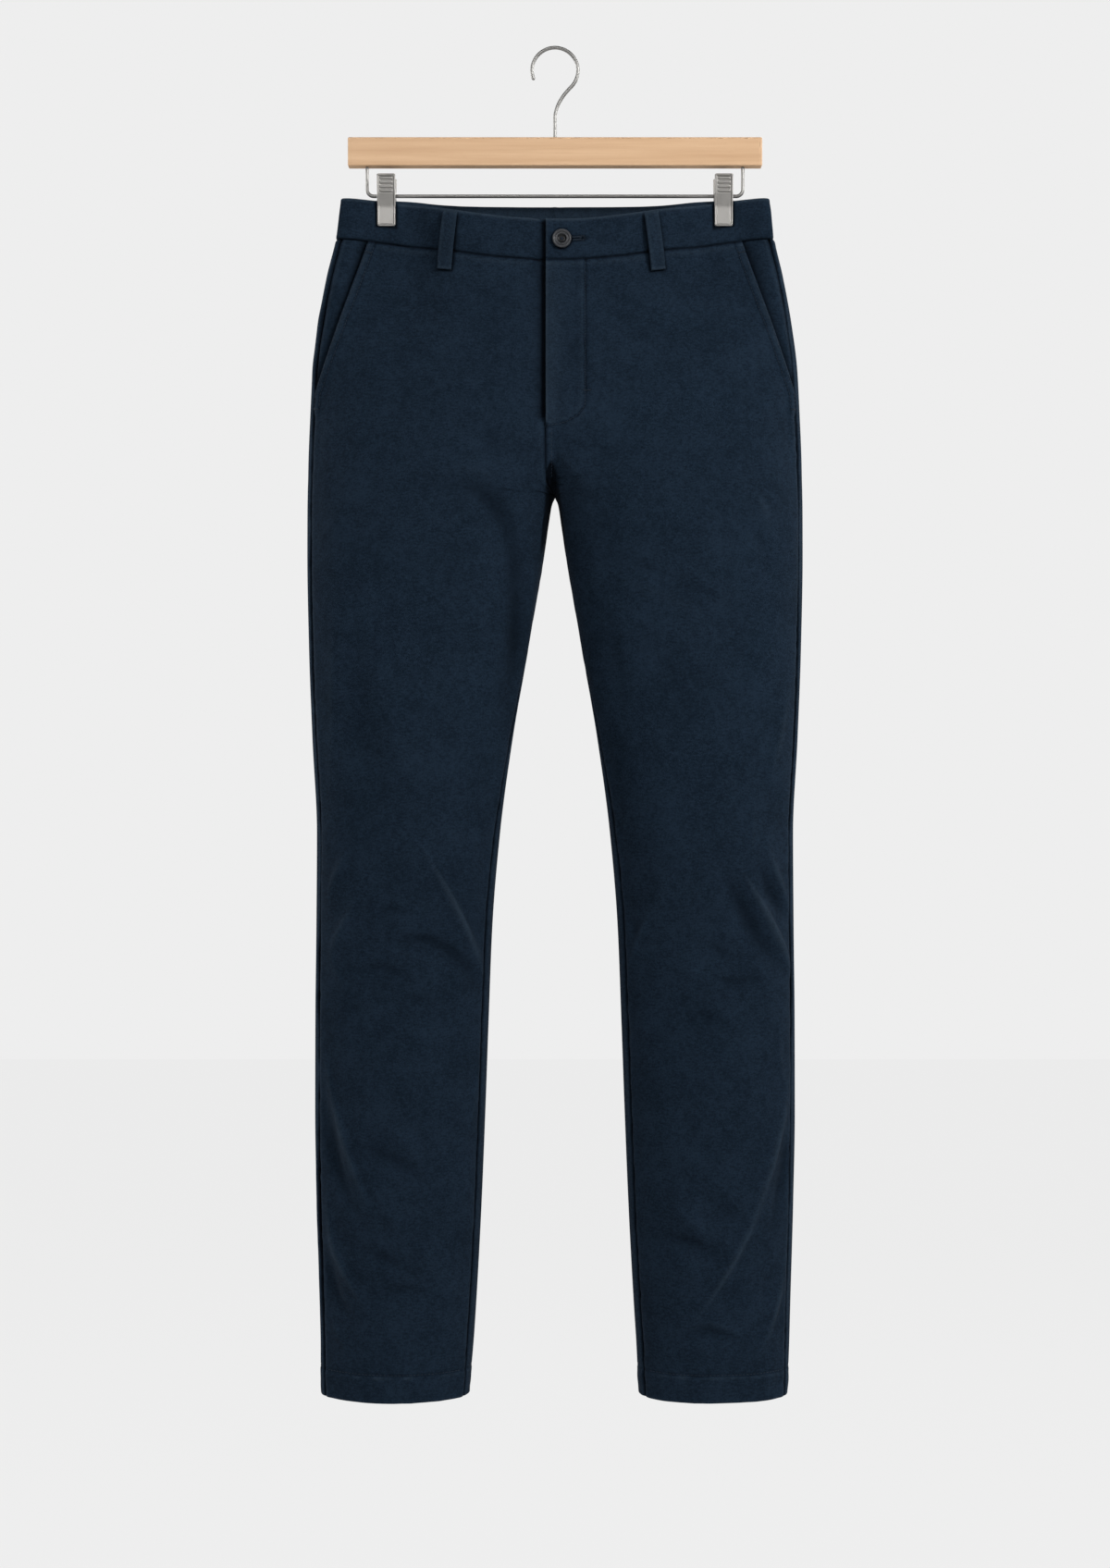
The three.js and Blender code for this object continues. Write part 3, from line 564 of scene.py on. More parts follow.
def shellFaces(rows, columns, every=1):
    # quads of the outside, the inside and the rim between them. The inside may keep only every
    # second row and column, and the rim then has a quad and a triangle for each two steps.
    index = np.arange(rows * columns).reshape(rows, columns)
    keptRows, keptColumns = keptSteps(rows, every), keptSteps(columns, every)
    behind = rows * columns + np.arange(len(keptRows) * len(keptColumns)).reshape(
        len(keptRows), len(keptColumns)
    )
    rims = []
    for line, kept, back, flip in (
        (index[:, 0], keptRows, behind[:, 0], False),
        (index[:, -1], keptRows, behind[:, -1], True),
        (index[0], keptColumns, behind[0], True),
        (index[-1], keptColumns, behind[-1], False),
    ):
        low, high = kept[:-1], kept[1:]
        rim = [np.stack([line[low], line[low + 1], back[1:], back[:-1]], -1)]
        split = high > low + 1
        rim.append(np.stack([line[low + 1], line[high], back[1:], back[1:]], -1)[split])
        rim = np.concatenate(rim)
        # the doubled corner of a triangle stays last when the face is turned round
        rims.append(rim[:, [1, 0, 3, 2]] if flip else rim)
    return np.concatenate([gridQuads(index), gridQuads(behind)[:, [1, 0, 3, 2]], *rims])


def insideOf(grid, every):
    rows, columns = grid.shape[:2]
    keptRows, keptColumns = keptSteps(rows, every), keptSteps(columns, every)
    return grid[keptRows][:, keptColumns]


def facingOut(points, quads):
    # turns every face round if the volume inside comes out negative
    a, b, c, d = (points[quads[:, k]] for k in range(4))
    volume = np.einsum("ij,ij->i", a, np.cross(b, c) + np.cross(c, d)).sum()
    return quads if volume > 0 else quads[:, [1, 0, 3, 2]]


def joinParts(parts):
    points, quads, start = [], [], 0
    for partPoints, partQuads in parts:
        points.append(partPoints)
        quads.append(partQuads + start)
        start += len(partPoints)
    return np.concatenate(points), np.concatenate(quads)


def addObject(name, data):
    made = bpy.data.objects.new(name, data)
    bpy.context.scene.collection.objects.link(made)
    return made


def putMesh(name, points, quads, finish, nodes=(), flatUv=None, wearAndPaintedLight=None):
    # quads with two equal corners in a row are triangles
    mesh = bpy.data.meshes.new(name)
    doubled = quads[:, 2] == quads[:, 3]
    faces = quads[~doubled].tolist() + quads[doubled][:, :3].tolist()
    mesh.from_pydata((points * mm).tolist(), [], faces)
    mesh.polygons.foreach_set("use_smooth", np.ones(len(mesh.polygons), bool))
    if flatUv is not None:
        corners = np.zeros(len(mesh.loops), int)
        mesh.loops.foreach_get("vertex_index", corners)
        layer = mesh.uv_layers.new(name="cloth")
        layer.data.foreach_set("uv", (flatUv[corners] * mm).ravel())
    if wearAndPaintedLight is not None:
        mesh.attributes.new("wearAndPaintedLight", "FLOAT", "POINT").data.foreach_set("value", wearAndPaintedLight)
    mesh.materials.append(finish)
    piece = addObject(name, mesh)
    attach(piece, "root")
    if nodes:
        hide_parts(*nodes)
    return piece


def putShell(name, panel, lift, wall, wearAndPaintedLight, finish, nodes, every=1, innerWearAndPaintedLight=0.0):
    lift, wall, wearAndPaintedLight = (np.broadcast_to(v, panel["turn"].shape) for v in (lift, wall, wearAndPaintedLight))
    outside, inside = shellPoints(panel, lift, wall)
    rows, columns = panel["turn"].shape
    within = insideOf(inside, every)
    points = np.concatenate([outside.reshape(-1, 3), within.reshape(-1, 3)])
    quads = facingOut(points, shellFaces(rows, columns, every))
    across = panel["place"] - panel["length"] / 2
    down = np.broadcast_to(-panel["drops"], across.shape)
    flat = np.stack([across, down], -1)
    panel["piece"] = putMesh(
        name, points, quads, finish, nodes,
        flatUv=np.concatenate([flat.reshape(-1, 2), insideOf(flat, every).reshape(-1, 2)]),
        wearAndPaintedLight=np.concatenate([wearAndPaintedLight.ravel(), np.full(within[..., 0].size, innerWearAndPaintedLight)]),
    )
    panel["outside"] = outside
    panel["out"] = gridNormals(outside, panel["normal"])


def gridNormals(points, near):
    normals = unit(np.cross(np.gradient(points, axis=1), np.gradient(points, axis=0)))
    return normals * np.sign(np.einsum("...i,...i", normals, near))[..., None]


def newFinish(name):
    # a finish, its nodes, its shader and the coordinates that its patterns follow
    finish = bpy.data.materials.new(name)
    finish.use_nodes = True
    tree = finish.node_tree
    coordinates = tree.nodes.new("ShaderNodeTexCoord").outputs
    return finish, tree, tree.nodes["Principled BSDF"], coordinates


def addNode(tree, kind, inputs=None, **settings):
    node = tree.nodes.new(kind)
    for key, value in settings.items():
        setattr(node, key, value)
    for key, value in (inputs or {}).items():
        if isinstance(value, bpy.types.NodeSocket):
            tree.links.new(value, node.inputs[key])
        else:
            node.inputs[key].default_value = value
    return node.outputs[0]


def addMath(tree, operation, first, second):
    return addNode(tree, "ShaderNodeMath", {0: first, 1: second}, operation=operation)


def addMix(tree, factor, first, second):
    node = tree.nodes.new("ShaderNodeMix")
    node.data_type = "RGBA"
    for key, value in ((0, factor), (6, first), (7, second)):
        if isinstance(value, bpy.types.NodeSocket):
            tree.links.new(value, node.inputs[key])
        else:
            node.inputs[key].default_value = value
    return node.outputs[2]


def addNoise(tree, where, scale, detail=2.0, roughness=0.5):
    return addNode(
        tree, "ShaderNodeTexNoise",
        {"Vector": where, "Scale": scale, "Detail": detail, "Roughness": roughness},
    )


def addAttribute(tree, name):
    node = tree.nodes.new("ShaderNodeAttribute")
    node.attribute_name = name
    return node.outputs["Fac"]


def addBump(tree, shader, height, strength, distance):
    bump = addNode(
        tree, "ShaderNodeBump", {"Height": height, "Strength": strength, "Distance": distance}
    )
    tree.links.new(bump, shader.inputs["Normal"])


def setInputs(shader, values):
    for key, value in values.items():
        shader.inputs[key].default_value = value


def addSpan(tree, value, low, high, start=0.0, end=1.0):
    return addNode(
        tree, "ShaderNodeMapRange",
        {"Value": value, "From Min": low, "From Max": high, "To Min": start, "To Max": end},
    )


def addScaled(tree, where, scale, turn=0.0):
    return addNode(
        tree, "ShaderNodeMapping",
        {"Vector": where, "Scale": scale, "Rotation": (0.0, 0.0, turn)},
    )


twill = {
    "deep": (0.0045, 0.0092, 0.0162, 1),
    "base": (0.0098, 0.0187, 0.0322, 1),
    # the lighter tone stands for rubbed wear and for painted highlights, and the darkest one is
    # painted shade and shadow
    "wornAndHighlight": (0.0330, 0.0500, 0.0700, 1),
    "paintedShade": (0.0004, 0.0010, 0.0022, 1),
    "rib": 0.85,  # width of one twill rib
    "ribTurn": 63,  # degrees from level
    "roughness": 0.92,
    "specular": 0.03,
    "sheen": 0.02,
    "sheenRoughness": 0.45,
    "sheenTint": (0.52, 0.62, 0.75, 1),
}


def makeTwill(name):
    # brushed twill: slanting ribs as bump, and a tone that drifts at four sizes, down to the nap
    finish, tree, shader, coordinates = newFinish(name)
    where, flat = coordinates["Object"], coordinates["UV"]
    cloud = addNoise(tree, where, 26.0, 2.0, 0.7)
    mottle = addNoise(tree, where, 120.0, 1.0, 1.0)
    slub = addNoise(tree, addScaled(tree, flat, (230.0, 600.0, 1.0), 0.35), 1.0, 1.0)
    cross = addNoise(tree, addScaled(tree, flat, (230.0, 600.0, 1.0), -0.6), 1.0, 1.0)
    slub = addMath(tree, "ADD", slub, cross)
    nap = addNoise(tree, where, 640.0, 2.0, 1.0)
    tone = addMath(
        tree, "ADD",
        addMath(tree, "ADD", addSpan(tree, cloud, 0.2, 0.8, -0.27, 0.41),
                addSpan(tree, mottle, 0.2, 0.8, -0.25, 0.3)),
        addMath(tree, "ADD", addSpan(tree, slub, 0.5, 1.5, -0.34, 0.64),
                addSpan(tree, nap, 0.15, 0.85, -0.8, 1.3)),
    )
    slant = addScaled(tree, flat, (1.0, 1.0, 1.0), np.radians(-twill["ribTurn"]))
    rib = addNode(
        tree, "ShaderNodeTexWave", {"Vector": slant, "Scale": 314.0 / twill["rib"],
                                    "Distortion": 1.2, "Detail": 1.0, "Detail Scale": 2.0},
    )
    colour = addMix(tree, tone, twill["deep"], twill["base"])
    # the attribute mixes the cloth towards the lighter tone for rubbed wear and painted highlights,
    # and towards the darkest tone for painted shade and shadow
    wearAndPaintedLight = addAttribute(tree, "wearAndPaintedLight")
    wearAndLightMix = addMath(tree, "MULTIPLY", wearAndPaintedLight, addSpan(tree, nap, 0.25, 0.75, 0.6, 1.2))
    colour = addMix(tree, addSpan(tree, wearAndLightMix, 0.0, 1.0), colour, twill["wornAndHighlight"])
    colour = addMix(tree, addSpan(tree, wearAndLightMix, 0.0, -1.0), colour, twill["paintedShade"])
    tree.links.new(colour, shader.inputs["Base Color"])
    height = addMath(tree, "ADD", addMath(tree, "MULTIPLY", rib, 0.3), nap)
    addBump(tree, shader, height, 0.5, 0.0002)
    setInputs(shader, {
        "Roughness": twill["roughness"],
        "Specular IOR Level": twill["specular"],
        "Sheen Weight": twill["sheen"],
        "Sheen Roughness": twill["sheenRoughness"],
        "Sheen Tint": twill["sheenTint"],
    })
    return finish


def makeThread(name, tone):
    # sewing thread: two plies that wind round it, a little glossier than the cloth
    finish, tree, shader, coordinates = newFinish(name)
    ply = addNoise(tree, coordinates["Object"], 2400.0, 2.0)
    light = tuple(min(1.0, v * 1.5) for v in tone[:3]) + (1,)
    tree.links.new(addMix(tree, ply, tone, light), shader.inputs["Base Color"])
    addBump(tree, shader, ply, 0.4, 0.0001)
    setInputs(shader, {"Roughness": 0.7, "Specular IOR Level": 0.2})
    return finish


def makeWood(name):
    # pale beech: long soft streaks along X, with short darker flecks and fine pores
    finish, tree, shader, coordinates = newFinish(name)
    where = coordinates["Object"]
    streak = addNoise(tree, addScaled(tree, where, (6.0, 60.0, 150.0)), 1.0, 4.0, 0.6)
    fine = addNoise(tree, addScaled(tree, where, (25.0, 500.0, 900.0)), 1.0, 2.0)
    fleck = addNoise(tree, addScaled(tree, where, (240.0, 900.0, 1500.0)), 1.0, 1.0)
    colour = addMix(
        tree, addSpan(tree, streak, 0.3, 0.7), (0.5, 0.31, 0.173, 1), (0.605, 0.4, 0.24, 1)
    )
    colour = addMix(tree, addSpan(tree, fine, 0.45, 0.75, 0.0, 0.3), colour, (0.5, 0.3, 0.165, 1))
    flecked = addSpan(tree, fleck, 0.64, 0.76, 0.0, 0.22)
    colour = addMix(tree, flecked, colour, (0.44, 0.255, 0.135, 1))
    tree.links.new(colour, shader.inputs["Base Color"])
    addBump(tree, shader, fine, 0.25, 0.0002)
    setInputs(shader, {"Roughness": 0.5, "Specular IOR Level": 0.35})
    return finish


def makeSteel(name, brushed, tones):
    # satin nickel: fine upright brushing where brushed, else a soft drawn wire
    finish, tree, shader, coordinates = newFinish(name)
    where = coordinates["Object"]
    lines = addNoise(tree, addScaled(tree, where, (2600.0, 2600.0, 60.0)), 1.0, 2.0)
    smudge = addNoise(tree, where, 160.0, 3.0)
    colour = addMix(tree, smudge, tones[0], tones[1])
    tree.links.new(colour, shader.inputs["Base Color"])
    low, high = (0.5, 0.6) if brushed else (0.42, 0.5)
    tree.links.new(addSpan(tree, smudge, 0.3, 0.7, low, high), shader.inputs["Roughness"])
    addBump(tree, shader, lines, 0.3 if brushed else 0.02, 0.0001)
    setInputs(shader, {"Metallic": 1.0})
    return finish


def makeHorn(name):
    # dark horn-like resin with a faint smoky swirl
    finish, tree, shader, coordinates = newFinish(name)
    smoke = addNoise(tree, coordinates["Object"], 240.0, 3.0, 0.6)
    # the attribute paints highlights on the rims and shade in the groove and the well
    light = addAttribute(tree, "wearAndPaintedLight")
    ring = addMix(tree, light, (0.001, 0.0015, 0.002, 1), (0.045, 0.047, 0.051, 1))
    swirl = addSpan(tree, smoke, 0.35, 0.65, 0.0, 0.35)
    colour = addMix(tree, swirl, ring, (0.012, 0.013, 0.016, 1))
    tree.links.new(colour, shader.inputs["Base Color"])
    setInputs(shader, {"Roughness": 0.4, "Specular IOR Level": 0.22})
    return finish


clothFinish = makeTwill("navyTwill")
tapeFinish = makeThread("zipTape", (0.006, 0.010, 0.017, 1))
threadFinish = makeThread("navyThread", (0.0062, 0.0118, 0.0205, 1))
woodFinish = makeWood("beech")
plateFinish = makeSteel("satinNickel", True, ((0.31, 0.30, 0.285, 1), (0.36, 0.35, 0.335, 1)))
wireFinish = makeSteel("drawnWire", False, ((0.23, 0.225, 0.215, 1), (0.29, 0.285, 0.275, 1)))
hornFinish = makeHorn("hornResin")
print("finishes made")


loops = {
    "width": 12.5, "wall": 1.8, "top": 2.2, "below": 18.5, "bow": 2.4, "clear": 0.9,
    # node, face (1 in front), side, and how far from the middle its top and bottom lie
    "places": {
        "frontLeft": ("belt_loop_front_left", 1, 1, 85, 91.5),
        "frontRight": ("belt_loop_front_right", 1, -1, 92.5, 98),
        "backLeft": ("belt_loop_back_left", -1, 1, 96, 99),
        "backRight": ("belt_loop_back_right", -1, -1, 96, 99),
        "centreBack": ("belt_loop_centre_back", -1, 1, 0, 0),
    },
}

# from one drop to another, and the size of the steps between
panelStretches = [
    (cut["bandHeight"] - 0.9, 226, 3.2),
    (226, 304, 1.8),
    (304, 596, 3.8),
    (596, 740, 2.1),
    (740, 800, 3.2),
    (800, 1036, 2.3),
    (1036, cut["hemDrop"], 1.4),
]


def sideSeamTurn(level):
    return turnAt(level, level["outer"] - cut["sideSeamInset"])


def inseamTurn(level):
    below = level["drop"] - cut["crotchDrop"] - cut["inseamStart"]
    inset = cut["inseamInset"] * smooth(below / cut["inseamFade"])
    return turnAt(level, level["inner"] + inset)


def pocketEdgeX(drop):
    bottom = levelAt(np.array([pocket["bottom"]]))["outer"][0] - cut["sideSeamInset"]
    band = cut["bandHeight"]
    share = (drop - band) / (pocket["bottom"] - band)
    return pocket["topX"] + (bottom - pocket["topX"]) * share


def frontEdgeTurns(side, drops):
    level = levelAt(drops)
    start = np.where(
        drops < pocket["bottom"], turnAt(level, pocketEdgeX(drops)), sideSeamTurn(level)
    )
    seam = sampleTable(frontSeam[:, 0], frontSeam[:, 1], drops)
    lapped = frontTurnAt(level, seam + cut["seamGap"] / 2)
    tuck = 1 - smooth((drops - fly["zipBottom"]) / (fly["bottom"] + 6 - fly["zipBottom"]))
    under = -seam + cut["seamGap"] / 2 + (fly["lapEdge"] - fly["underlapEdge"]) * tuck
    centre = lapped if side > 0 else frontTurnAt(level, under)
    return start, np.where(drops >= cut["crotchDrop"], inseamTurn(level), centre)


def flyStitchLine():
    # down beside the fly, then a quarter of an ellipse to the lap's edge
    across, down = fly["stitchX"] - fly["lapEdge"], fly["stitchEnd"] - fly["stitchTurn"]
    angles = np.radians(np.linspace(0, 90, 9))
    bend = [
        (fly["lapEdge"] + across * np.cos(a), fly["stitchTurn"] + down * np.sin(a)) for a in angles
    ]
    return [(fly["stitchX"], cut["bandHeight"] + 1)] + bend


relief = {
    "creases": 1.9, "backCreases": 1.3,
    "crestWearAndHighlight": 0.16,
    "troughShade": 0.16,
    "sharpWidth": 5.5,  # ridges no wider than this are lightened in full, as rubbed wear and painted highlight
    "crinkle": 0.34, "crinkleSize": (17, 21),
    "ripple": 0.14, "rippleSize": (7, 8),
    "drift": 0.9, "driftSize": (60, 95),
    "pucker": 0.34, "puckerSize": 6.5,
    "stitchDent": 0.3,
}


def clothRelief(panel, seed):
    # what lies all over: a slow drift, small crinkles and finer ripples
    x, drop = panel["x"], panel["drops"]
    lift = relief["drift"] * wander(x, drop, relief["driftSize"], seed)
    lift = lift + relief["crinkle"] * wander(x, drop, relief["crinkleSize"], seed + 1)
    lift = lift + relief["ripple"] * wander(x, drop, relief["rippleSize"], seed + 2)
    quiet = smooth((drop - cut["bandHeight"]) / 60)
    return lift * (0.35 + 0.65 * quiet)


def puckers(along, distance, reach, seed):
    # short gathers beside a line of stitching, square to it
    return relief["pucker"] * wander(along, distance * 0.3, (relief["puckerSize"], 9), seed) * bell(
        distance, reach
    )


def bandSeam(fromBand, x, seed):
    # the panel turns in under the band, with a low swell below the seam
    return -1.25 * bell(fromBand, 2.1) + 0.2 * bell(fromBand - 5, 3.5) + 0.6 * puckers(
        x, fromBand, 6, seed
    )


def cleftMask(x, drop):
    # 1 inside the cleft's two edges, with soft sides
    across = [np.interp(drop, cleft[side][:, 0], cleft[side][:, 1]) for side in ("right", "left")]
    inside = smooth((x - across[0] + 0.6) / 1.2) * smooth((across[1] + 1.5 - x) / 3)
    return inside * smooth((drop - 238) / 6) * (1 - smooth((drop - 300) / 30))


def hemRelief(drops, x, seed):
    # the turned-up hem lies proud of the leg, pulled in along its stitches and roped below them
    below = drops - hemTop
    dent = -0.42 * bell(below, 1.3)
    double = 0.35 * smooth(below / 3)
    rope = 0.26 * wander(x + below * 0.8, below, (8, 16), seed) * smooth(below / 4)
    flute = 0.9 * wander(x, below * 0, (34, 40), seed + 1) * smooth((below + 30) / 50)
    return dent + double + rope + flute


def hemWearAndShade(drops, x, seed):
    # painted shade along the dented line of sewing, with rubbed roping below it
    below = drops - hemTop
    roped = 0.5 + 0.5 * wander(x, below * 0, (9, 9), seed)
    sewn = 0.5 + 0.5 * wander(x, below * 0, (6, 9), seed + 1)
    hem = 0.3 * roped * bell(below - 2.6, 1.5) - 0.45 * sewn * bell(below, 1.0)
    # the lower legs are a little deeper in tone than the thighs
    return hem - 0.06 * smooth((drops - 430) / 200)


def panelWall(drops):
    return cut["wall"] + (cut["hemWall"] - cut["wall"]) * smooth((drops - hemTop) / 2)


def besideLoops(x, drop, face):
    # where the belt loops of that face keep the light off the cloth beside and below them
    shade = np.zeros(np.broadcast(x, drop).shape)
    length = cut["bandHeight"] + loops["below"]
    for _, loopFace, side, topX, bottomX in loops["places"].values():
        middle = side * (topX + (bottomX - topX) * drop / length)
        beyond = np.maximum(np.abs(x - middle) - loops["width"] / 2, drop - length)
        shade = shade + bell(np.maximum(0, beyond), 1.7) * (face == loopFace)
    return shade * smooth((drop - 3) / 4)


def lyingFlat(panel):
    # 1 where the cloth faces forwards or back, less where it turns to the side
    return smooth((np.abs(panel["normal"][..., 1]) - 0.1) / 0.5)


def underTheLap(reach):
    # 1 where the right side lies under the left one's lap, less further out
    return 1 - smooth((reach - fly["tuckDown"]) / (fly["tuckStart"] - fly["tuckDown"]))


def makeFront(side, seed):
    word = sideWord(side)
    drops = gradedSteps(panelStretches)
    start, end = frontEdgeTurns(side, drops)
    panel = layPanel(side, drops, start, end, columns=105)
    x, drop = panel["x"], panel["drops"]
    fromSide, fromFront = panel["place"], panel["length"] - panel["place"]
    fromBand = drop - drop[0]
    turned = lyingFlat(panel)
    inField = turned * smooth(fromSide / 6) * smooth(fromFront / 5)
    lift = relief["creases"] * creaseLift(creases["front"], x, drop) * inField
    lift = lift + clothRelief(panel, seed) * turned * smooth(fromSide / 12) * smooth(fromFront / 12)
    seamed = smooth((drop - pocket["bottom"] + 2) / 6)
    lift = lift + seamDip(fromSide) * seamed
    lift = lift + puckers(drop, fromSide, 5, seed + 3) * (0.35 + 0.3 * seamed)
    # pocket edge: a turned fold, quilted by its topstitch
    mouth = 1 - smooth((drop - pocket["bottom"] - 14) / 6)
    quilt = smooth(fromSide / 1.5) * (1 - smooth((fromSide - 5) / 1.6))
    bumps = 0.5 + 0.5 * wander(drop, fromSide * 0, (5.5, 9), seed + 4)
    lift = lift + mouth * (1 - smooth(fromSide / 13)) * 0.95
    lift = lift + mouth * quilt * (0.1 + 0.42 * bumps)
    lift = lift - mouth * relief["stitchDent"] * bell(fromSide - pocket["stitchIn"], 1.0)
    # front edge: seam or lap
    onFly = 1 - smooth((drop - fly["bottom"] - 1) / 7)
    lift = lift + seamDip(fromFront) * (1 - onFly)
    if side > 0:
        line = flyStitchLine()
        off = lineDistance(line, x, drop)
        lift = lift - (relief["stitchDent"] + 0.35) * bell(off, 1.3)
        strip = (x < fly["stitchX"]) * (drop < fly["stitchEnd"])
        puff = smooth(off / 3) * smooth(fromFront / 4) * strip
        lift = lift + puff * (0.55 + 0.5 * wander(x, drop, (15, 19), seed + 5))
        lift = lift + fly["lapRise"] * (1 - smooth((fromFront - 2) / 24)) * onFly
        lift = lift + 0.22 * wander(drop, x * 0, (6.5, 9), seed + 6) * bell(fromFront, 3.5) * onFly
        beside = np.abs(fromFront - fly["seamStitch"])
        lift = lift - 0.25 * bell(beside, 0.9) * (1 - onFly) * (drop < cut["crotchDrop"] - 8)
    else:
        sink = underTheLap(panel["reach"]) * (1 - smooth((drop - fly["bottom"] - 6) / 25))
        beyond = np.maximum(0, fly["lapEdge"] - x)
        underLap = 0.7 * bell(beyond, 4.6) + 0.3 * bell(beyond, 10)
        dip = underLap * (1 - smooth((drop - fly["bottom"] + 8) / 14))
        lift = lift * (1 - 0.7 * sink) - fly["underlapDepth"] * sink - fly["underlapDip"] * dip
    hollow = cleftMask(x, drop)
    panel["base"][..., 1] += cleft["depth"] * hollow * (1 - smooth((drop - 256) / 12))
    # inseam gathers, waist seam and hem
    low = smooth((drop - cut["crotchDrop"]) / 40)
    lift = lift + puckers(drop, fromFront, 5, seed + 7) * low * 0.8
    lift = lift + bandSeam(fromBand, x, seed + 8) + hemRelief(drop, x, seed + 9)
    wearAndPaintedLight = 0.12 * mouth * bell(fromSide - 1, 1.4) + 0.14 * mouth * bell(fromSide - 3, 1.6) * bumps
    wearAndPaintedLight = wearAndPaintedLight + 0.12 * bell(drop[-1] - drop, 2.4)
    wearAndPaintedLight = wearAndPaintedLight + creaseWearAndShade(creases["front"], x, drop) * inField
    wearAndPaintedLight = wearAndPaintedLight + seamShadeAndHighlight(fromSide) * seamed + 0.6 * seamShadeAndHighlight(fromFront) * (1 - onFly)
    # painted shade in the seam under the band, and a painted highlight on the low swell below it
    wearAndPaintedLight = wearAndPaintedLight - 0.8 * bell(fromBand - 0.9, 1.2) + 0.12 * bell(fromBand - 5, 2)
    # painted shade along the pocket's topstitch
    wearAndPaintedLight = wearAndPaintedLight + mouth * (0.03 * quilt - 0.4 * bell(fromSide - pocket["stitchIn"], 0.8))
    # painted shadow fills the cleft
    wearAndPaintedLight = wearAndPaintedLight * (1 - hollow) - 1.6 * hollow
    wearAndPaintedLight = wearAndPaintedLight + hemWearAndShade(drop, x, seed + 10) - 0.8 * besideLoops(x, drop, 1)
    if side > 0:
        # the lap's folded edge and the fly strip are lighter, partly rubbed wear and partly painted
        # highlight
        wearAndPaintedLight = wearAndPaintedLight + (0.35 * bell(fromFront, 1.6) + 0.12 * bell(fromFront, 14)) * onFly
        # a painted highlight beside the fly's topstitch, and painted shade along it
        wearAndPaintedLight = wearAndPaintedLight + 0.12 * bell(off - 2.4, 1.6) * strip - 0.7 * bell(off, 1.0)
    else:
        # painted shadow cast by the lap on the right front
        wearAndPaintedLight = wearAndPaintedLight - 1.2 * underLap * (1 - smooth((drop - fly["bottom"] + 3) / 8))
    putShell(
        f"{word}Front", panel, lift, panelWall(drop), np.clip(wearAndPaintedLight, -1, 1), clothFinish,
        [f"front_{word}"], 2,
    )
    return panel


def makeBack(side, seed):
    word = sideWord(side)
    drops = gradedSteps(panelStretches)
    level = levelAt(drops)
    start = sideSeamTurn(level)
    centre = -turnAt(level, -cut["joinLap"])
    end = np.where(drops < cut["crotchDrop"], centre, inseamTurn(level) - 2 * np.pi)
    panel = layPanel(side, drops, start, end, columns=105)
    x, drop = panel["x"], panel["drops"]
    fromSide, fromInside = panel["place"], panel["length"] - panel["place"]
    fromBand = drop - drop[0]
    # creases of the back fade where it comes round to the front
    behind = smooth((panel["base"][..., 1] + 4) / 14)
    turned = lyingFlat(panel)
    inField = behind * turned * smooth(fromInside / 6)
    lift = relief["backCreases"] * creaseLift(creases["back"], x, drop) * inField
    lift = lift + clothRelief(panel, seed) * turned * smooth(fromInside / 10)
    lift = lift + seamDip(fromSide) + puckers(drop, fromSide, 5, seed + 3) * 0.5
    parting = 1 - bell(drop - cut["crotchDrop"], 14)
    lift = lift + seamDip(fromInside) * parting + puckers(drop, fromInside, 5, seed + 4) * 0.7
    lift = lift + bandSeam(fromBand, x, seed + 5) + hemRelief(drop, x, seed + 6)
    wearAndPaintedLight = 0.12 * bell(drop[-1] - drop, 2.4) + creaseWearAndShade(creases["back"], x, drop) * inField
    # painted shade in the seams, and a wider painted highlight on the raised strip beside the side
    # seam
    wearAndPaintedLight = wearAndPaintedLight + seamShadeAndHighlight(fromSide) + 0.16 * bell(fromSide - 3, 3) + seamShadeAndHighlight(fromInside)
    # painted shade in the seam under the band
    wearAndPaintedLight = wearAndPaintedLight - 0.5 * bell(fromBand - 0.9, 1.1)
    wearAndPaintedLight = wearAndPaintedLight + hemWearAndShade(drop, x, seed + 7) - 0.8 * besideLoops(x, drop, -1)
    # behind the front's fork the two backs stay joined a little lower
    fork = 1 - smooth((drop - cut["crotchDrop"] - cut["forkDrop"] + 1) / 2)
    inner = level["inner"][:, None] - 0.02
    near = fork * bell(panel["reach"] - inner, 16)
    panel["base"][..., 0] -= side * near * np.maximum(inner, 0)
    putShell(
        f"{word}Back", panel, lift, panelWall(drop), np.clip(wearAndPaintedLight, -1, 1), clothFinish,
        [f"back_{word}"], 2,
    )
    return panel


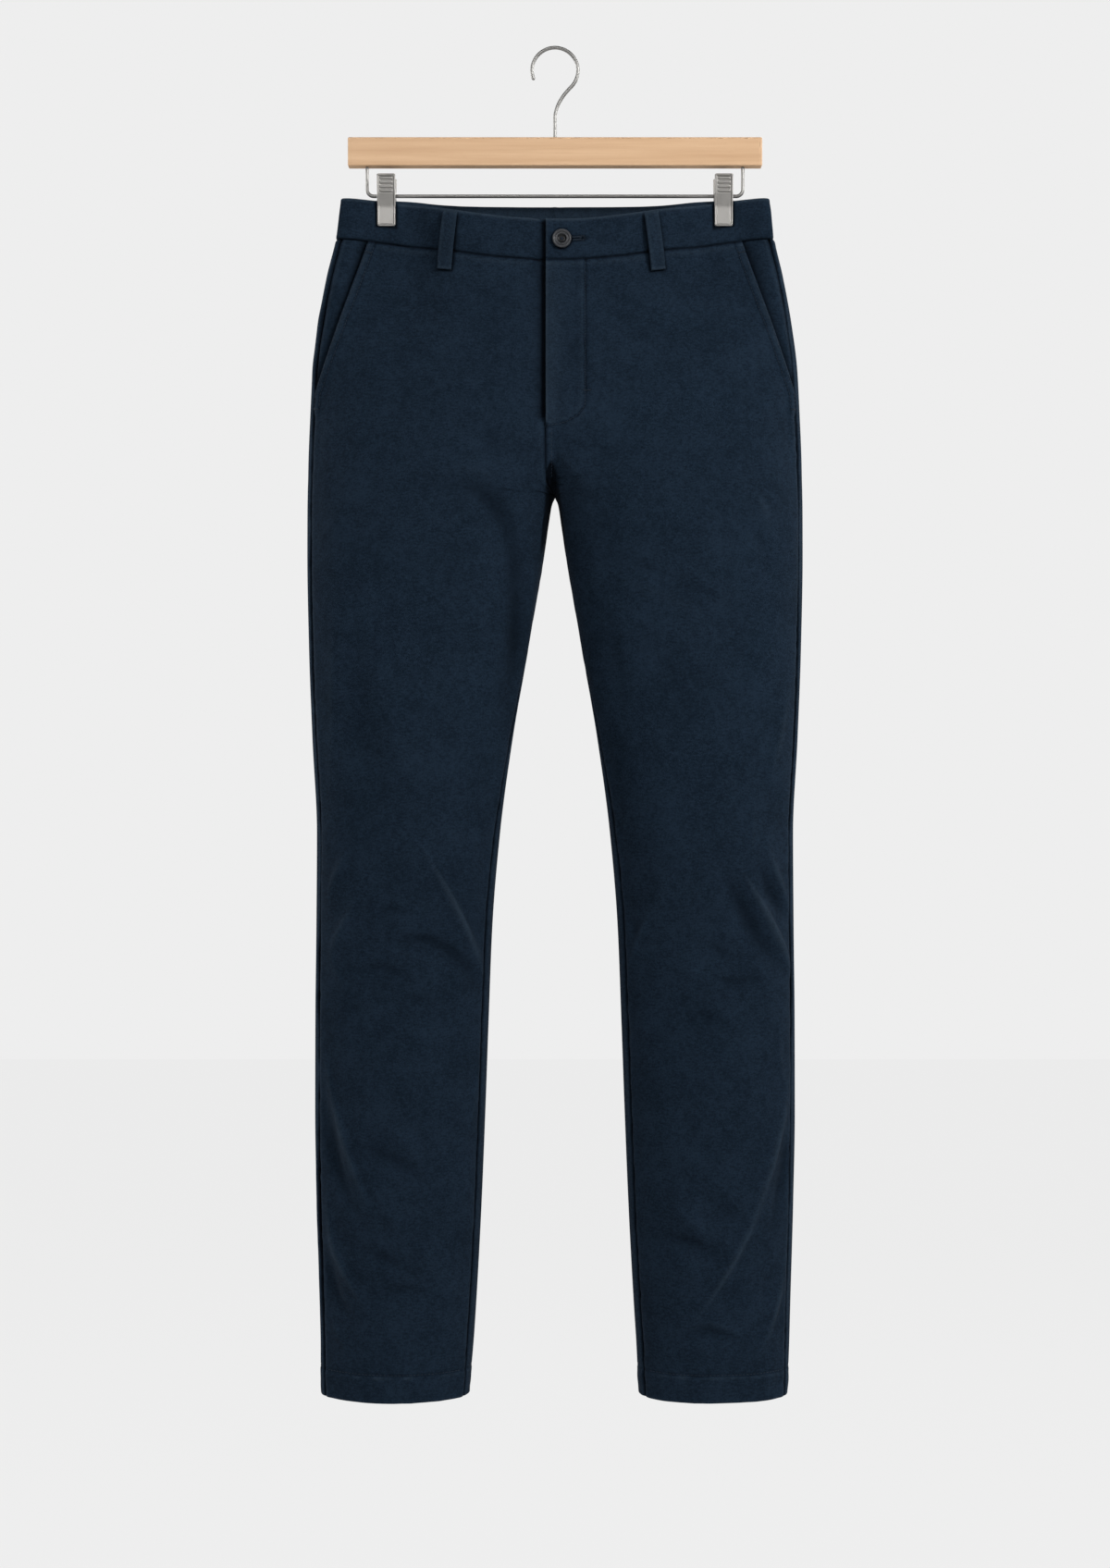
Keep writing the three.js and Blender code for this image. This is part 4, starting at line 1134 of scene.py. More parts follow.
def makeFacing(side, seed):
    # the pocket's facing shows between the mouth and the side seam, and runs on under the front
    word = sideWord(side)
    drops = gradedSteps([(cut["bandHeight"] - 2.5, 190, 3.4)])
    level = levelAt(drops)
    edge = turnAt(level, np.minimum(pocketEdgeX(drops), level["outer"] - cut["sideSeamInset"]))
    run = frontEdgeTurns(side, drops)[1]
    panel = layPanel(side, drops, sideSeamTurn(level), edge + (run - edge) * 0.22, 34)
    reach, drop = panel["reach"], panel["drops"]
    edgeX = pocketEdgeX(drop)
    wide = np.clip(level["outer"][:, None] - cut["sideSeamInset"] - edgeX, 3, 16)
    rise = smooth((reach - edgeX - 0.1 * wide) / (0.75 * wide))
    tucked = 1 - smooth((drop - cut["bandHeight"]) / 5)
    lift = -pocket["facingDepth"] * (1 - rise) * (1 - tucked) - pocket["tuckDepth"] * tucked
    lift = lift + 0.4 * clothRelief(panel, seed) * rise + seamDip(panel["place"])
    # painted shade in the seam, and painted shadow under the pocket's edge
    wearAndPaintedLight = seamShadeAndHighlight(panel["place"]) - 0.9 * bell(np.maximum(0, reach - edgeX), 5)
    putShell(
        f"{word}PocketFacing", panel, lift, cut["wall"], np.clip(wearAndPaintedLight, -1, 1), clothFinish,
        [f"pocket_facing_{word}"],
    )
    return panel


button = {"x": 6, "drop": 18.8, "radius": 8.5, "thickness": 3.2, "seat": 0.3}
buttonhole = {
    "start": 15.4, "eye": 24.2, "drop": 18.6, "eyeRadius": 1.5, "stitch": 1.7, "slitHalf": 0.35,
}
jawPrint = {"half": 8.7, "tip": 22.4, "soft": 1.4}


def makeBand(side, seed):
    # the band is folded double, with soft round edges and a slightly fuller middle
    word = sideWord(side)
    drops = gradedSteps([(0, cut["bandHeight"] - 0.1, 1.9)])
    level = levelAt(drops)
    frontEnd = fly["lapEdge"] if side > 0 else -fly["shieldEdges"][1]
    start = frontTurnAt(level, np.full(len(drops), float(frontEnd)))
    end = -turnAt(level, -cut["joinLap"])
    panel = layPanel(side, drops, start, end, 250, closer=cut["clipX"])
    x, drop = panel["x"], panel["drops"]
    height = drops[-1]
    onFront = panel["turn"] > 0
    lift = 0.35 * np.sin(np.pi * drop / height) + 0.30 * wander(x, drop, (26, 19), seed)
    lift = lift + 0.16 * wander(x, drop, (9, 10), seed + 1)
    lift = lift - 0.55 * bell(drop - height, 1.8) + puckers(x, drop - height, 5, seed + 2) * 0.6
    lift = lift + 0.25 * bell(drop - 1.4, 1.6)
    if side > 0:
        lift = lift + 0.2 * wander(drop, x * 0, (7, 9), seed + 3) * bell(panel["place"], 3)
        lift = lift + 0.7 * (1 - smooth(panel["place"] / 22))
    else:
        lift = lift - fly["bandTuck"] * underTheLap(panel["reach"]) * onFront
    lift = lift + seamDip(panel["length"] - panel["place"])
    # the jaws press into the cloth, and painted shadow darkens it round them
    beside = np.maximum(np.abs(np.abs(x) - cut["clipX"]) - jawPrint["half"], drop - jawPrint["tip"])
    jawDentAndShadow = bell(beside, jawPrint["soft"])
    lift = lift - 0.6 * jawDentAndShadow
    # the lap's edge is lighter, partly rubbed wear and partly painted highlight
    wearAndPaintedLight = 0.5 * bell(drop - 1, 1.4) + (0.3 * bell(panel["place"], 1.6) if side > 0 else 0)
    # painted shadow round the jaws, and painted shade in the seam under the band
    wearAndPaintedLight = wearAndPaintedLight - 0.9 * jawDentAndShadow - 0.8 * bell(drop - height, 1.5)
    if side < 0:
        # painted shadow cast by the left band's lap
        wearAndPaintedLight = wearAndPaintedLight - 1.1 * bell(np.maximum(0, fly["lapEdge"] - x), 4.6) * onFront
    else:
        fromButton = np.hypot(x - button["x"], drop - button["drop"]) - button["radius"]
        slitEnd = buttonhole["eye"] + buttonhole["eyeRadius"]
        slit = [(x, buttonhole["drop"]) for x in (buttonhole["start"], slitEnd)]
        # painted shadow round the button and round the buttonhole's slit and eye
        wearAndPaintedLight = wearAndPaintedLight - 0.7 * bell(np.maximum(0, fromButton), 1.6) * onFront
        wearAndPaintedLight = wearAndPaintedLight - 0.9 * bell(np.maximum(0, lineDistance(slit, x, drop) - 1.2), 1.6) * onFront
    wearAndPaintedLight = wearAndPaintedLight - 0.8 * besideLoops(x, drop, np.where(onFront, 1, -1))
    putShell(
        f"{word}Waistband", panel, lift, cut["bandWall"], np.clip(wearAndPaintedLight, -1, 1), clothFinish,
        [f"waistband_{word}"], innerWearAndPaintedLight=0.2,
    )
    return panel


def makeFlyLayer(name, node, edges, bottom, depth, wall, finish):
    # layers behind the lap, drawn on the right side's section and run past the centre
    drops = gradedSteps([(cut["bandHeight"] + 0.3, bottom, 5)])
    level = levelAt(drops)
    start, end = (frontTurnAt(level, np.full(len(drops), -float(x))) for x in edges)
    panel = layPanel(-1, drops, start, end, 8)
    putShell(name, panel, -depth, wall, 0.0, finish, [node])
    return panel


def makeLoop(word, node, face, side, topX, bottomX, seed):
    # a folded strip from the band's top edge to below its seam, standing clear in the middle
    length = cut["bandHeight"] + loops["below"]
    drops = gradedSteps([(loops["top"], length, 1.6)])
    level = levelAt(drops)
    middle = topX + (bottomX - topX) * drops / length
    half = loops["width"] / 2
    start = face * frontTurnAt(level, middle + half)
    end = face * frontTurnAt(level, middle - half)
    panel = layPanel(side, drops, start, end, 7, edgeSteps[:7])
    drop, place = panel["drops"], panel["place"]
    stand = loops["clear"] + loops["bow"] * np.clip(np.sin(np.pi * drop / length), 0, 1) ** 0.6
    fromEdge = np.minimum(place, panel["length"] - place)
    lift = stand + loops["wall"] + 0.22 * bell(fromEdge - 1.2, 1.1) - 0.2 * bell(fromEdge - 3, 0.8)
    lift = lift + 0.14 * wander(place, drop, (6, 9), seed)
    lift = lift - 0.55 * bell(drop - length + 4, 1.5) - 0.45 * bell(drop - 3.6, 1.5)
    wearAndPaintedLight = 0.06 + 0.1 * bell(fromEdge - 1.6, 1.4)
    wearAndPaintedLight = wearAndPaintedLight + 0.25 * bell(drop - drops[0] - 1, 1.2) + 0.25 * bell(length - drop - 1, 1.2)
    putShell(
        f"{word}BeltLoop", panel, lift, loops["wall"], np.clip(wearAndPaintedLight, 0, 1), clothFinish,
        [node],
    )
    return panel


fronts = {"left": makeFront(1, 100), "right": makeFront(-1, 200)}
backs = {"left": makeBack(1, 300), "right": makeBack(-1, 400)}
facings = {"left": makeFacing(1, 500), "right": makeFacing(-1, 600)}
bands = {"left": makeBand(1, 700), "right": makeBand(-1, 800)}
shield = makeFlyLayer(
    "flyShield", "fly_shield", fly["shieldEdges"], fly["shieldBottom"], fly["shieldDepth"],
    cut["wall"], clothFinish,
)
zipTape = makeFlyLayer(
    "flyZipTape", "fly_zip", fly["zipEdges"], fly["zipBottom"], fly["zipDepth"], fly["zipWall"],
    tapeFinish,
)
beltLoops = {
    word: makeLoop(word, *facts, seed=900 + 10 * k)
    for k, (word, facts) in enumerate(loops["places"].items())
}
print("cloth laid")


thread = {"radius": 0.24, "pitch": 3.3, "length": 2.6, "bulge": 0.16, "seat": -0.02}


def spotOn(panel, drops, places, fromStart=True):
    # points and directions on the finished cloth at given drops and distances from an edge
    drops, places = np.broadcast_arrays(np.asarray(drops, float), np.asarray(places, float))
    rows = np.interp(drops, panel["drops"][:, 0], np.arange(len(panel["drops"])))
    r = np.clip(rows.astype(int), 0, len(panel["drops"]) - 2)
    f = (rows - r)[:, None]
    points, normals = [], []
    for k in range(len(drops)):
        place = places[k] if fromStart else panel["length"][r[k], 0] - places[k]
        row = panel["place"][r[k]]
        column = np.interp(place, row, np.arange(len(row)))
        c = min(int(column), len(row) - 2)
        g = column - c
        corner = panel["outside"][r[k]:r[k] + 2, c:c + 2]
        facing = panel["out"][r[k]:r[k] + 2, c:c + 2]
        between = lambda pair: pair[0] * (1 - g) + pair[1] * g
        mix = lambda square: between(square[0]) * (1 - f[k]) + between(square[1]) * f[k]
        points.append(mix(corner))
        normals.append(mix(facing))
    return np.array(points), unit(np.array(normals))


def placeOf(panel, drops, x):
    # the distance from the start edge at which a row crosses x
    places = []
    for drop, wanted in zip(drops, x):
        r = int(np.argmin(np.abs(panel["drops"][:, 0] - drop)))
        ahead = panel["base"][r, :, 1] < 0
        acrossRow, placeRow = panel["x"][r][ahead], panel["place"][r][ahead]
        order = np.argsort(acrossRow)
        places.append(np.interp(wanted, acrossRow[order], placeRow[order]))
    return np.array(places)


def lineSpots(panel, x, drops):
    return spotOn(panel, drops, placeOf(panel, drops, x))


def lineOn(panel, line, count):
    # a line given as (x, drop) points, put on the cloth
    line = np.array(line, float)
    along = runAlong(line)
    return lineSpots(panel, *sampleLine(line, along, np.linspace(0, along[-1], count)).T)


def stitchBodies(heads, tails, normals, radius, bulge):
    # each stitch is a thin round body from head to tail, humped in the middle and pointed at both
    # ends: seven rings of six points, with their centres on a sine
    count, sides = 7, 6
    rings, angles = np.linspace(0, 1, count), np.arange(sides) * 2 * np.pi / sides
    along = unit(tails - heads)
    across = unit(np.cross(along, normals))
    centres = heads[:, None] + (tails - heads)[:, None] * rings[None, :, None]
    hump = (bulge * np.sin(np.pi * rings) + thread["seat"])[None, :, None]
    centres = centres + normals[:, None] * hump
    girth = (radius * (1 - 0.93 * np.abs(2 * rings - 1) ** 5))[None, :, None, None]
    turned = (
        across[:, None, None] * np.cos(angles)[None, None, :, None]
        + normals[:, None, None] * np.sin(angles)[None, None, :, None]
    )
    points = (centres[:, :, None] + turned * girth).reshape(-1, 3)
    body = ringQuads(count, sides)
    fan = np.array([(0, k, k + 1, k + 1) for k in range(1, sides - 1)])
    end = (count - 1) * sides
    one = np.concatenate([body[:, ::-1], fan, fan[:, [0, 2, 1, 1]] + end])
    starts = np.arange(len(heads)) * count * sides
    return points, (one[None] + starts[:, None, None]).reshape(-1, 4)


def stitchRow(points, normals):
    # stitches of one length along a line on the cloth
    pitch, length = thread["pitch"], thread["length"]
    along = runAlong(points)
    starts = np.arange(pitch / 2, along[-1] - pitch, pitch)
    heads, tails = (sampleLine(points, along, at) for at in (starts, starts + length))
    facing = unit(sampleLine(normals, along, starts + length / 2))
    return stitchBodies(heads, tails, facing, thread["radius"], thread["bulge"])


def barTack(points, normals, count, width):
    # close stitches side by side across a short line
    index, order = np.linspace(0, len(points) - 1, count), np.arange(len(points))
    at, facing = sampleLine(points, order, index), unit(sampleLine(normals, order, index))
    along = unit(np.gradient(at, axis=0))
    across = np.cross(along, facing) * width / 2
    lean = along * 0.25
    return stitchBodies(at - across - lean, at + across + lean, facing, 0.26, 0.3)


def putStitches(name, parts):
    points, quads = joinParts(parts)
    return putMesh(name, points, facingOut(points, quads), threadFinish)


def stitchHem(panel):
    hem = np.linspace(4, panel["length"][-1, 0] - 4, 120)
    return stitchRow(*spotOn(panel, float(hemTop), hem))


def stitchFront(word):
    panel = fronts[word]
    drops = np.linspace(cut["bandHeight"] + 3, pocket["bottom"] + 14, 90)
    parts = [stitchRow(*spotOn(panel, drops, pocket["stitchIn"]))]
    parts.append(stitchRow(*spotOn(panel, drops, pocket["edgeStitch"])))
    for at in (cut["bandHeight"] + 10, pocket["bottom"] + 13):
        places = np.linspace(0.6, 6.4, 8)
        parts.append(barTack(*spotOn(panel, np.full(8, float(at)), places), 9, 1.7))
    if word == "left":
        parts.append(stitchRow(*lineOn(panel, flyStitchLine(), 160)))
        tack = [(fly["stitchX"] - 0.5, fly["tack"]), (fly["stitchX"] + 5.5, fly["tack"])]
        parts.append(barTack(*lineOn(panel, tack, 8), 10, 1.7))
        seam = np.linspace(fly["stitchEnd"] + 1, cut["crotchDrop"] - 14, 40)
        parts.append(stitchRow(*spotOn(panel, seam, fly["seamStitch"], False)))
    parts.append(stitchHem(panel))
    return putStitches(f"{word}FrontStitches", parts)


def stitchBack(word):
    return putStitches(f"{word}BackStitches", [stitchHem(backs[word])])


frontStitches = {word: stitchFront(word) for word in fronts}
backStitches = {word: stitchBack(word) for word in backs}
print("stitched")


def turnedPoints(profile, sides):
    # a profile of (across, out) points turned round its axis
    angle = np.arange(sides) * 2 * np.pi / sides
    across, out = np.array(profile, float).T
    return np.stack([
        across[:, None] * np.cos(angle), across[:, None] * np.sin(angle),
        np.broadcast_to(out[:, None], (len(out), sides)),
    ], -1)


def fanQuads(ring, centre, flip):
    after = np.roll(ring, -1)
    fan = np.stack([ring, after, np.full(len(ring), centre), np.full(len(ring), centre)], -1)
    return fan[:, [1, 0, 2, 3]] if flip else fan


def onBand(x, drop):
    # a spot on the left end of the band with its own right, down and out
    point, out = lineSpots(bands["left"], np.array([x]), np.array([drop]))
    right = unit(np.cross(np.array([0, 0, 1.0]), -out[0]))
    right = right if right[0] > 0 else -right
    return point[0], right, unit(np.cross(out[0], right)), out[0]


def makeButton():
    # rounded rim, groove, inner ring and a sunk well, sewn on with thick thread
    r, t = button["radius"], button["thickness"]
    rim, well = t - 0.05, t - 1.95
    # across, out, and how light the horn is painted there: painted highlights on the rim and the
    # inner ring, painted shade in the groove and the well
    turned = np.array([
        (0.01, 0, 0.2), (r - 1.4, 0, 0.2), (r - 0.5, 0.35, 0.2), (r, 1.2, 0.3),
        (r, t - 1.1, 0.5),
        (r - 0.35, t - 0.4, 1), (r - 0.95, rim, 1), (r - 1.5, t - 0.12, 1),
        (r - 2.05, t - 0.5, 0.7),
        (r - 2.4, t - 0.8, 0.3), (r - 2.9, t - 0.85, 0.45), (r - 3.3, t - 0.7, 0.9),
        (r - 3.9, t - 0.62, 0.9), (r - 4.4, t - 0.8, 0.2), (r - 4.8, t - 1.3, 0),
        (r - 5.2, t - 1.75, 0), (2.5, well, 0), (1.8, well, 0), (1.4, well, 0), (0.01, well, 0),
    ])
    profile, shade = turned[:, :2], turned[:, 2]
    sides = 72
    rings = turnedPoints(profile, sides)
    seat, right, up, out = onBand(button["x"], button["drop"])
    place = lambda local: (
        seat + out * button["seat"] + local[..., :1] * right + local[..., 1:2] * up
        + local[..., 2:3] * out
    )
    points = place(rings.reshape(-1, 3))
    # the tiny first and last rings are closed by fans from their own first point
    k = np.arange(1, sides - 1)
    back = np.stack([k + 1, k, 0 * k, 0 * k], -1)
    face = np.stack([k, k + 1, 0 * k, 0 * k], -1) + (len(profile) - 1) * sides
    quads = np.concatenate([ringQuads(len(profile), sides), back, face])
    putMesh(
        "waistButton", points, facingOut(points, quads), hornFinish,
        ["waist_button"], wearAndPaintedLight=np.repeat(shade, sides),
    )
    # the thread crosses the well in two bars
    spots = np.array([(-1.05, -1.05), (1.05, -1.05), (-1.05, 1.05), (1.05, 1.05)])
    heads, tails = [], []
    for low, high in ((0, 3), (1, 2)):
        for shift in np.linspace(-0.32, 0.32, 4):
            lean = np.array([spots[high][1] - spots[low][1], spots[low][0] - spots[high][0]])
            lean = lean / np.linalg.norm(lean) * shift
            heads.append([*(spots[low] + lean), well + 0.1])
            tails.append([*(spots[high] + lean), well + 0.1])
    heads, tails = place(np.array(heads)), place(np.array(tails))
    sewn = stitchBodies(heads, tails, np.tile(out, (len(heads), 1)), thread["radius"], 0.45)
    putStitches("waistButtonThread", [sewn])


def makeButtonhole():
    # close stitches stand round a slit that ends in a small eye
    slitX = np.linspace(buttonhole["start"], buttonhole["eye"] - 1.6, 14)
    slit = np.stack([slitX, 0 * slitX], -1)
    apart = (0, buttonhole["slitHalf"])
    angles = np.radians(np.linspace(200, -160, 19))
    radius = buttonhole["eyeRadius"] * 0.75
    eye = np.stack([buttonhole["eye"] + radius * np.cos(angles), radius * np.sin(angles)], -1)
    route = np.concatenate([slit + apart, eye, slit[::-1] - apart])
    along = runAlong(route)
    x, y = sampleLine(route, along, np.arange(0, along[-1], 0.5)).T
    aim = unit(np.stack([np.gradient(x), np.gradient(y)], -1))
    outward = np.stack([-aim[:, 1], aim[:, 0]], -1)
    band = bands["left"]
    inner = lineSpots(band, x, buttonhole["drop"] - y)
    far = lineSpots(
        band, x + outward[:, 0] * buttonhole["stitch"],
        buttonhole["drop"] - y - outward[:, 1] * buttonhole["stitch"],
    )
    putStitches("waistButtonhole", [stitchBodies(inner[0], far[0], inner[1], 0.27, 0.32)])


makeButton()
makeButtonhole()
print("button sewn on")


hanger = {
    "barTop": -80, "holeDepth": 12, "wire": 1.6, "rodX": 168.5, "rodZ": -131.8,
    "rodBend": 6, "hookRadius": 19, "holeClear": 0.3,
}

bar = {"length": 371, "depth": 12, "height": 25.7, "edge": 1.3, "steps": (60, 5, 8)}

jaw = {
    "half": 8.3, "corner": 2.2, "topCorner": 1.5, "wall": 1.2, "rail": 1.9, "railHeight": 0.75,
    "line": ((9.6, -113.7), (7.4, -129.8), (3.9, -142), (3.9, -159.7)),
    "ribStart": 1.9, "ribPitch": 3.7, "ribs": 4, "ribHalf": 5.6,
    "earWall": 1.0, "earRadius": 3.2, "earRise": 7, "backInset": 1.4,
}

spring = {"wire": 0.62, "radius": 2.55, "turns": 6, "half": 4.0}


def tube(route, radius, sides, reference, roundTip=False):
    # rings square to the route; the first and last are closed, and a tip is drawn in to a dome
    route = np.array(route, float)
    along = unit(np.gradient(route, axis=0))
    girth = np.full(len(route), float(radius))
    if roundTip:
        angle = np.radians([20, 40, 60, 75, 88])
        tip = route[-1] + along[-1] * radius * np.sin(angle)[:, None]
        route = np.concatenate([route, tip])
        along = np.concatenate([along, np.tile(along[-1], (len(angle), 1))])
        girth = np.concatenate([girth, radius * np.cos(angle)])
    first = unit(np.cross(along, np.array(reference, float)))
    second = np.cross(along, first)
    turn = (np.arange(sides) * 2 * np.pi / sides)[None, :, None]
    rings = route[:, None] + girth[:, None, None] * (
        first[:, None] * np.cos(turn) + second[:, None] * np.sin(turn)
    )
    points = np.concatenate([rings.reshape(-1, 3), route[:1], route[-1:]])
    count = len(route) * sides
    quads = np.concatenate([
        ringQuads(len(route), sides),
        fanQuads(np.arange(sides), count, True),
        fanQuads(np.arange(sides) + count - sides, count + 1, False),
    ])
    return points, quads


def arc(centreX, centreZ, radius, start, end, count):
    angle = np.radians(np.linspace(start, end, count))
    x, z = centreX + radius * np.cos(angle), centreZ + radius * np.sin(angle)
    return np.stack([x, 0 * angle, z], -1)


def putWire(name, node, route, radius, sides, reference, roundTip=False):
    points, quads = tube(route, radius, sides, reference, roundTip)
    putMesh(name, points, facingOut(points, quads), wireFinish, [node])


def makeHook():
    # the shank rises from the bar, swings to one side and turns over into the crook
    radius = hanger["hookRadius"] + hanger["wire"]
    crook = arc(0, -hanger["hookRadius"], radius, -45, 200, 96)
    joinX, joinZ = crook[0, 0], crook[0, 2]
    t = np.linspace(0, 1, 24)[:-1, None]
    foot = np.array([0, 0, joinZ - 2 * joinX])
    corner = np.array([0, 0, joinZ - joinX])
    swing = (1 - t) ** 2 * foot + 2 * t * (1 - t) * corner + t * t * crook[0]
    bottom = hanger["barTop"] - hanger["holeDepth"] + hanger["holeClear"]
    shank = np.stack([0 * t[:8, 0], 0 * t[:8, 0], np.linspace(bottom, foot[2], 9)[:-1]], -1)
    route = np.concatenate([shank, swing, crook])
    putWire("hookWire", "hanger_hook", route, hanger["wire"], 28, (0, 1, 0), True)


def makeRod():
    top = hanger["barTop"] - bar["height"] + hanger["holeDepth"] - hanger["holeClear"]
    x, z, bend = hanger["rodX"], hanger["rodZ"], hanger["rodBend"]
    right = arc(x - bend, z + bend, bend, 0, -90, 16)
    left = arc(bend - x, z + bend, bend, -90, -180, 16)
    across = np.stack([np.linspace(x - bend, bend - x, 60), np.zeros(60), np.full(60, z)], -1)
    leg = np.linspace(top, z + bend, 12)
    downRight = np.stack([np.full(12, x), np.zeros(12), leg], -1)
    upLeft = (downRight * (-1, 1, 1))[:-1][::-1]
    route = np.concatenate([downRight[:-1], right, across[1:-1], left, upLeft])
    putWire("clipRod", "clip_rod", route, hanger["wire"], 24, (0, 1, 0))


def makeBar():
    # a box whose surface is a smaller box grown by the edge radius: every point of a fine grid
    # moves out along its own direction from the inner box
    half = np.array([bar["length"], bar["depth"], bar["height"]]) / 2
    inner = half - bar["edge"]
    parts = []
    for axis in range(3):
        u, v = [k for k in range(3) if k != axis]
        lines = []
        for k, count in ((u, bar["steps"][u]), (v, bar["steps"][v])):
            flat = np.linspace(-inner[k], inner[k], count)
            curve = bar["edge"] * np.tan(np.radians(np.linspace(0, 45, 6)))[1:]
            lines.append(np.concatenate([-inner[k] - curve[::-1], flat, inner[k] + curve]))
        a, b = np.meshgrid(*lines, indexing="ij")
        for sign in (-1, 1):
            points = np.zeros(a.shape + (3,))
            points[..., u], points[..., v], points[..., axis] = a, b, sign * half[axis]
            core = np.clip(points, -inner, inner)
            points = core + bar["edge"] * unit(points - core)
            points = points.reshape(-1, 3)
            quads = gridQuads(np.arange(a.size).reshape(a.shape))
            first, second, _, fourth = points[quads[0]]
            facing = np.cross(second - first, fourth - first)
            quads = quads if facing[axis] * sign > 0 else quads[:, [1, 0, 3, 2]]
            parts.append((points, quads))
    points, quads = joinParts(parts)
    points = points + (0, 0, hanger["barTop"] - half[2])
    piece = putMesh("hangerBar", points, quads, woodFinish, ["hanger_bar"])
    shape = bmesh.new()
    shape.from_mesh(piece.data)
    bmesh.ops.remove_doubles(shape, verts=shape.verts, dist=0.01 * mm)
    shape.to_mesh(piece.data)
    shape.free()


def jawLine(count):
    # the jaw's profile from its top to its tip, with the corners eased by a running mean
    samples, window = 400, 31
    corners = np.array(jaw["line"], float)
    along = runAlong(corners)
    line = sampleLine(corners, along, np.linspace(0, along[-1], samples))
    margin = (window // 2, window // 2)
    padded = np.pad(line, (margin, (0, 0)), mode="reflect", reflect_type="odd")
    shares = np.ones(window) / window
    eased = [np.convolve(padded[:, k], shares, "valid") for k in range(2)]
    order = np.arange(samples)
    at = np.interp(np.linspace(0, 1, count), np.linspace(0, 1, samples), order)
    y, z = (np.interp(at, order, values) for values in eased)
    return y, z, along[-1]


def jawPlate():
    # a pressed plate: rolled rails round its edge, finger ribs above and a flat satin field below
    rows, columns = 150, 46
    y, z, length = jawLine(rows)
    place = np.linspace(0, length, rows)
    aim = unit(np.stack([np.gradient(y), np.gradient(z)], -1))
    outY, outZ = -aim[:, 1], aim[:, 0]
    fromTip, fromTop = length - place, place
    narrow = roundEdge(fromTip, jaw["corner"]) + roundEdge(fromTop, jaw["topCorner"])
    half = jaw["half"] - narrow
    t = np.linspace(-1, 1, columns)
    t = np.sign(t) * (1 - (1 - np.abs(t)) ** 1.25)
    a = half[:, None] * t[None]
    b = place[:, None]
    # distance in from the rounded outline
    r = jaw["corner"]
    overX, overB = np.abs(a) - (jaw["half"] - r), np.abs(b - length / 2) - (length / 2 - r)
    inside = r - np.hypot(np.maximum(overX, 0), np.maximum(overB, 0)) - np.minimum(
        np.maximum(overX, overB), 0
    )
    railShape = np.sin(np.pi * np.clip(inside / jaw["rail"], 0, 1)) ** 0.7
    height = jaw["wall"] + jaw["railHeight"] * railShape - 0.22 * bell(inside - 2.15, 0.3)
    ribPhase = (b - jaw["ribStart"]) / jaw["ribPitch"]
    inRibs = smooth((jaw["ribHalf"] - np.abs(a)) / 0.5)
    inRibs = inRibs * (ribPhase > 0) * (ribPhase < jaw["ribs"])
    rib = smooth((np.cos(2 * np.pi * (ribPhase - 0.5)) + 0.55) / 0.9)
    height = height + inRibs * (-0.7 + 1.25 * rib)
    fall = roundEdge(np.minimum(inside, 1.0), 0.5)
    outer, inner = height - fall * 0.6, 0 * height + fall * 0.5
    lay = lambda out: np.stack(
        [a, -(y[:, None] + outY[:, None] * out), z[:, None] + outZ[:, None] * out], -1
    )
    # out is measured away from the cloth
    outside, behind = lay(outer), lay(inner)
    points = np.concatenate([outside.reshape(-1, 3), behind.reshape(-1, 3)])
    return points, facingOut(points, shellFaces(rows, columns))


def jawEar(x):
    # a flat ear with a hole for the rod: straight to the plate, and round behind the rod
    count = 48
    angle = np.arange(count) * 2 * np.pi / count
    aim = np.stack([np.cos(angle), np.sin(angle)], -1)
    hold = jaw["line"][1][0] + jaw["wall"] / 2
    sides = [((-hold, jaw["earRise"]), (0, jaw["earRadius"])),
             ((-hold, -hanger["wire"]), (0, -jaw["earRadius"]))]
    reach = np.where(aim[:, 0] < 0, hold / np.maximum(-aim[:, 0], 1e-6), jaw["earRadius"])
    for (ay, az), (by, bz) in sides:
        normal = unit(np.array([az - bz, by - ay]))
        away = normal @ np.array([ay, az])
        normal, away = (normal, away) if away > 0 else (-normal, -away)
        facing = aim @ normal
        limit = np.where(facing > 1e-6, away / np.maximum(facing, 1e-6), 1e9)
        reach = np.where(aim[:, 0] < 0, np.minimum(reach, limit), reach)
    hole = hanger["wire"] + hanger["holeClear"]
    rings = []
    for radius, shift in ((reach, -1), (reach, 1), (0 * reach + hole, 1), (0 * reach + hole, -1)):
        rings.append(np.stack([
            np.full(count, x + shift * jaw["earWall"] / 2), aim[:, 0] * radius,
            hanger["rodZ"] + aim[:, 1] * radius,
        ], -1))
    points = np.concatenate(rings)
    index = np.arange(4 * count).reshape(4, count)
    after, below = np.roll(index, -1, axis=1), np.roll(index, -1, axis=0)
    both = np.roll(after, -1, axis=0)
    quads = np.stack([index, after, both, below], -1).reshape(-1, 4)
    return points, facingOut(points, quads)


def makeJaw(word, x, facing):
    # the back jaw is the front one turned round, with its ears set further in
    inset = jaw["backInset"] if facing < 0 else 0
    earX = jaw["half"] - inset - jaw["earWall"] / 2
    points, quads = joinParts([jawPlate(), jawEar(earX), jawEar(-earX)])
    points = points * (facing, facing, 1) + (x, 0, 0)
    side = "front" if facing > 0 else "back"
    putMesh(
        f"{word}Clip{side.capitalize()}Jaw", points, quads, plateFinish,
        [f"clip_{word}_{side}_jaw"],
    )


